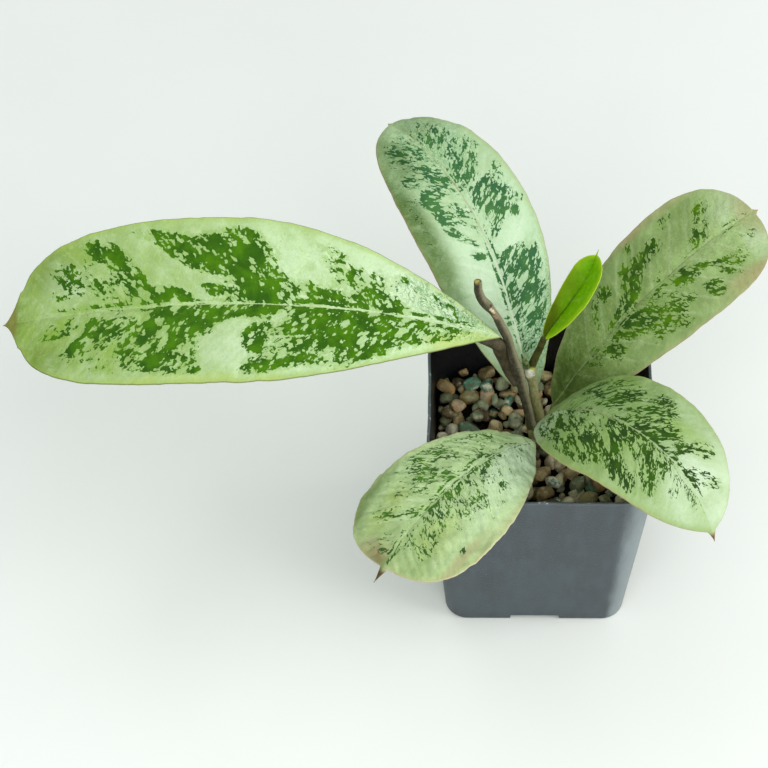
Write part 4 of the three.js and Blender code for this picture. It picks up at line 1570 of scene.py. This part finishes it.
def bladeMaterial(leaf):
    material = newMaterial(leaf["name"] + " upper side")
    flat = surfaceValue("flat", "Vector")
    x, y = split(flat)[:2]
    rim = surfaceValue("rim")
    splash = surfaceValue("splash")
    off = abs(y)
    speck = leaf["speck"]
    seed = leaf["seed"]
    vein = x - off * leaf["lean"]
    slant = math.atan2(1, leaf["lean"])
    length = x * math.cos(slant) + off * math.sin(slant)
    width = x * math.sin(slant) - off * math.cos(slant)
    streak = combine(width, length * leaf["stretch"], calc("SIGN", y) * 50.0)
    fine = grain(streak, speck, 2.5, 0.5, 0.5, seed)
    thread = (0.8 - abs(grain(streak, 1.25 * speck, 2, 0.5, 0.6, seed + 13))) * 1.6
    strand = grain(combine(x * 0.1, y), 0.8, 2, 0.5, 0.0, seed + 17)
    wide = grain(streak, 2.6 * speck, 2, 0.5, 0.2, seed + 3)
    cells = fine * (1.0 - leaf["thread"]) + thread * leaf["thread"]
    cells = cells + wide * 0.3 + strand * step(off, 3.0, 0.8, 0, leaf["strand"])
    amount = splash + cells
    slender = combine(width, length * (0.75 * leaf["stretch"]))
    for cell, least, most in ((leaf["cell"], 0.0, leaf["open"]), (leaf["hole"], -0.35, 0.5)):
        island = add("ShaderNodeTexVoronoi", {
            "Vector": wobble(slender, 0.5 * cell, 1.1 * cell, seed + cell), "Scale": 1 / cell})
        size = step(split(Flow(island.outputs["Color"]))[0], 0, 1, least, most)
        amount = calc("MINIMUM", amount, (Flow(island.outputs["Distance"]) - size) * 4.0)
    dark = step(amount, -0.12, 0.12)
    halo = step(amount, -0.9, 0.0, 0, 0.18)
    filigree = grain(streak, 1.2 * speck, 3, 0.55, 0.8, seed + 31)
    faint = step(splash + filigree, -1.2, -0.5, 0, leaf["faint"])
    netted = surfaceValue("net") * step(abs(filigree), 0.5, 0.1, 0, 0.85)

    clouds = grain(flat, 13.0, 3, 0.55, 0.3, seed + 9)
    start, end = leaf["warmFrom"]
    warmth = calc("ADD", (x - start) / float(end - start), clouds * 0.14, clamp=True)
    ground = mix(warmth, leaf["pale"], leaf["warm"])
    ground = mix(halo, ground, leaf["halo"])
    ground = mix(faint, ground, leaf["halo"])
    blotch = grain(flat, 5.0, 3, 0.6, 0.5, seed + 27)
    ground = layers(ground, [
        (blotch, 0.0, 2.0, 0.3, leaf["halo"]),
        (blotch, 0.0, -2.0, 0.35, leaf["pale"])])
    lateral = abs(calc("SINE", vein * (math.pi / blade["veinGap"]) + clouds * 0.25))
    lateral = step(lateral, 0.35, 0.0, 0, leaf["veins"]) * step(rim, 1.0, 7.0)
    faded = tuple((level + 255) / 2 for level in leaf["pale"])
    ground = mix(lateral, ground, faded)
    mottle = grain(flat, 1.7, 4, 0.7, 0.4, seed + 25)
    ground = layers(ground, [
        (rim + blotch * 0.5, 3.0, 0.3, 0.6, leaf["edge"]),
        (mottle, -0.4, 2.2, 0.4, leaf["edge"]),
        (mottle, -0.2, -2.0, 0.3, leaf["pale"])])
    tint = grain(flat, 7.0, 3, 0.55, 0.3, seed + 5)
    splashes = mix(step(tint, -1.4, 1.6), leaf["deep"], leaf["vivid"])
    # The light wash lays painted light and sheen; a leaf may give its own paint for each wash
    for kind in washPaints:
        hold = surfaceValue(kind) * step(clouds, -3.0, 1.0)
        ground = mix(hold, ground, leaf["paints"].get(kind, washPaints[kind]))
    ground = mix(netted, ground, leaf["net"])
    colour = mix(dark, ground, splashes)
    shaded = surfaceValue("shade") * step(blotch, -2.4, 0.8, 0.72, 1.05)
    colour = mix(calc("MINIMUM", shaded, 1.0), colour, blade["shade"], "MULTIPLY")

    fade = step(x, 0.96 * leaf["length"], 0.3 * leaf["length"], 0.25, 0.9)
    jitter = off + grain(flat, 2.5, 2, 0.6, 0.0, seed + 19) * 0.14
    line = step(jitter, leaf["line"], 0.1) * fade
    nearRib, farRib = leaf["ribColour"]
    ribPaint = mix(step(x, 0.35 * leaf["length"], 0.7 * leaf["length"]), nearRib, farRib)
    colour = mix(line, colour, ribPaint)
    tipFrom = (1 - leaf["outline"]["tip"]) * leaf["length"]
    colour = layers(colour, [
        (rim, 0.5, 0.1, 0.65, leaf["margin"]),
        (x, tipFrom, tipFrom + 2.5, 1.0, leaf["tipColour"])])
    skin = grain(flat, 0.9, 2, 0.5, 0.0, seed)
    lines = abs(calc("SINE", vein * (math.pi / blade["fineVeinGap"]) + clouds * 0.7))
    texture = skin * 0.3 + lines * 0.35
    return coat(material, colour, step(clouds, -2, 2, 0.42, 0.54), leaf["gloss"], texture, 0.0001)


def underMaterial(leaf):
    material = newMaterial(leaf["name"] + " underside")
    flat = surfaceValue("flat", "Vector")
    x, y = split(flat)[:2]
    rim = surfaceValue("rim")
    clouds = grain(flat, 9.0, 3, 0.55, 0.2, leaf["seed"] + 20)
    pale = tuple(level * 0.9 for level in leaf["pale"])
    colour = mix(step(clouds, -2, 2, 0.15, 0.6), pale, leaf["halo"])
    off = abs(y)
    vein = x - off * leaf["lean"]
    lines = abs(calc("SINE", vein * (math.pi / blade["underVeinGap"]) + clouds * 0.5))
    colour = layers(colour, [
        (lines, 0.12, 0.0, 0.35, leaf["edge"]),
        (rim, 0.9, 0.2, 0.7, leaf["margin"])])
    return coat(material, colour, 0.6, 0.2, clouds, 0.00015)


def stalkMaterial(leaf):
    material = newMaterial(leaf["name"] + " stalk")
    place = objectPlace()
    dark, light = leaf["stalkColours"]
    clouds = grain(place, 0.0035, 3, 0.6)
    fine = grain(place, 0.0008, 2, 0.6, seed=6.0)
    colour = mix(step(clouds, -1.6, 1.6), dark, light)
    ends = sum(math.dist(a, b) for a, b in zip(leaf["stalk"], leaf["stalk"][1:] + [leaf["base"]]))
    ridge = step(surfaceValue("along"), ends, ends + 16.0)
    colour = mix(ridge, colour, leaf["halo"])
    colour = addMarks(place, colour, leaf["marks"])
    return coat(material, colour, 0.55, 0.25, fine, 0.00008)


def stalkRows(leaf):
    rows = []
    last = len(leaf["stalk"])
    for i, point in enumerate(leaf["stalk"]):
        radius = leaf["stalkRadius"] * (1 - 0.25 * i / last) + leaf["flare"] * (i / last) ** 2
        rows.append([*point, radius])
    power = rib["crowd"]
    ends = leaf["ribFrom"] ** (1 / power), rib["reach"] ** (1 / power)
    points, side, lift = midrib(leaf, np.linspace(0, 1, rib["fineRows"]))
    for at in np.linspace(*ends, rib["rows"]) ** power:
        index = int(round(at * (rib["fineRows"] - 1)))
        radius = leaf["stalkRadius"] * rib["start"]
        target = leaf["thickness"] * rib["end"]
        radius += (target - radius) * min(at / rib["thins"], 1)
        radius += leaf["flare"] * math.exp(-at / rib["sinks"])
        sunk = min(at / rib["sinks"], 1) * max(leaf["thickness"] / 2 + radius * 0.2, radius * 0.85)
        place = points[index] - lift[index] * sunk
        rows.append([*place, radius])
    return rows


def makeLeaf(leaf):
    share = bladeShares(leaf["outline"])
    points, side, lift = midrib(leaf, share)
    half = fullness(leaf["outline"], share) * leaf["width"] / 2
    name = leaf["name"]
    seed = seedMesh(name + " midrib", spots(points), {
        "side": side, "lift": lift, "half": half, "along": share * leaf["length"]})
    made = grow(name + "_blade", seed, bladeMaker, {
        "Ring": blade["ring"], "Crowd": blade["crowd"], "Thickness": leaf["thickness"],
        "Fold": float(leaf["fold"]), "Cup": leaf["cup"], "Skew": leaf["skew"],
        "Relief": leaf["relief"], "Ripple": leaf["ripple"], "Lean": leaf["lean"], "Seed": leaf["seed"],
        "Groove": blade["groove"], "Upper": bladeMaterial(leaf), "Under": underMaterial(leaf)})
    mesh = made.data
    flat = readVectors(mesh, "flat")
    gap = marginGap(leaf, flat)
    values = {"rim": gap, "splash": splashed(leaf, flat, gap)}
    for kind in ("shade", *washPaints, "net"):
        values[kind] = covered(leaf["washes"].get(kind, []), flat)
    for label, rows in values.items():
        mark(mesh, label, rows)
    mesh.attributes.remove(mesh.attributes["lower"])
    stalk = makeLimb(name + " stalk", stalkRows(leaf), stalkMaterial(leaf), 0.15, 3.0)
    made = join(made, stalk)
    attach(made, "root")
    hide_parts(name)
    print(name, "grown:", len(made.data.polygons), "faces")


for leaf in (leafLeft, leafBack, leafRight, leafFrontRight, leafFrontLeft, leafYoung):
    makeLeaf(leaf)
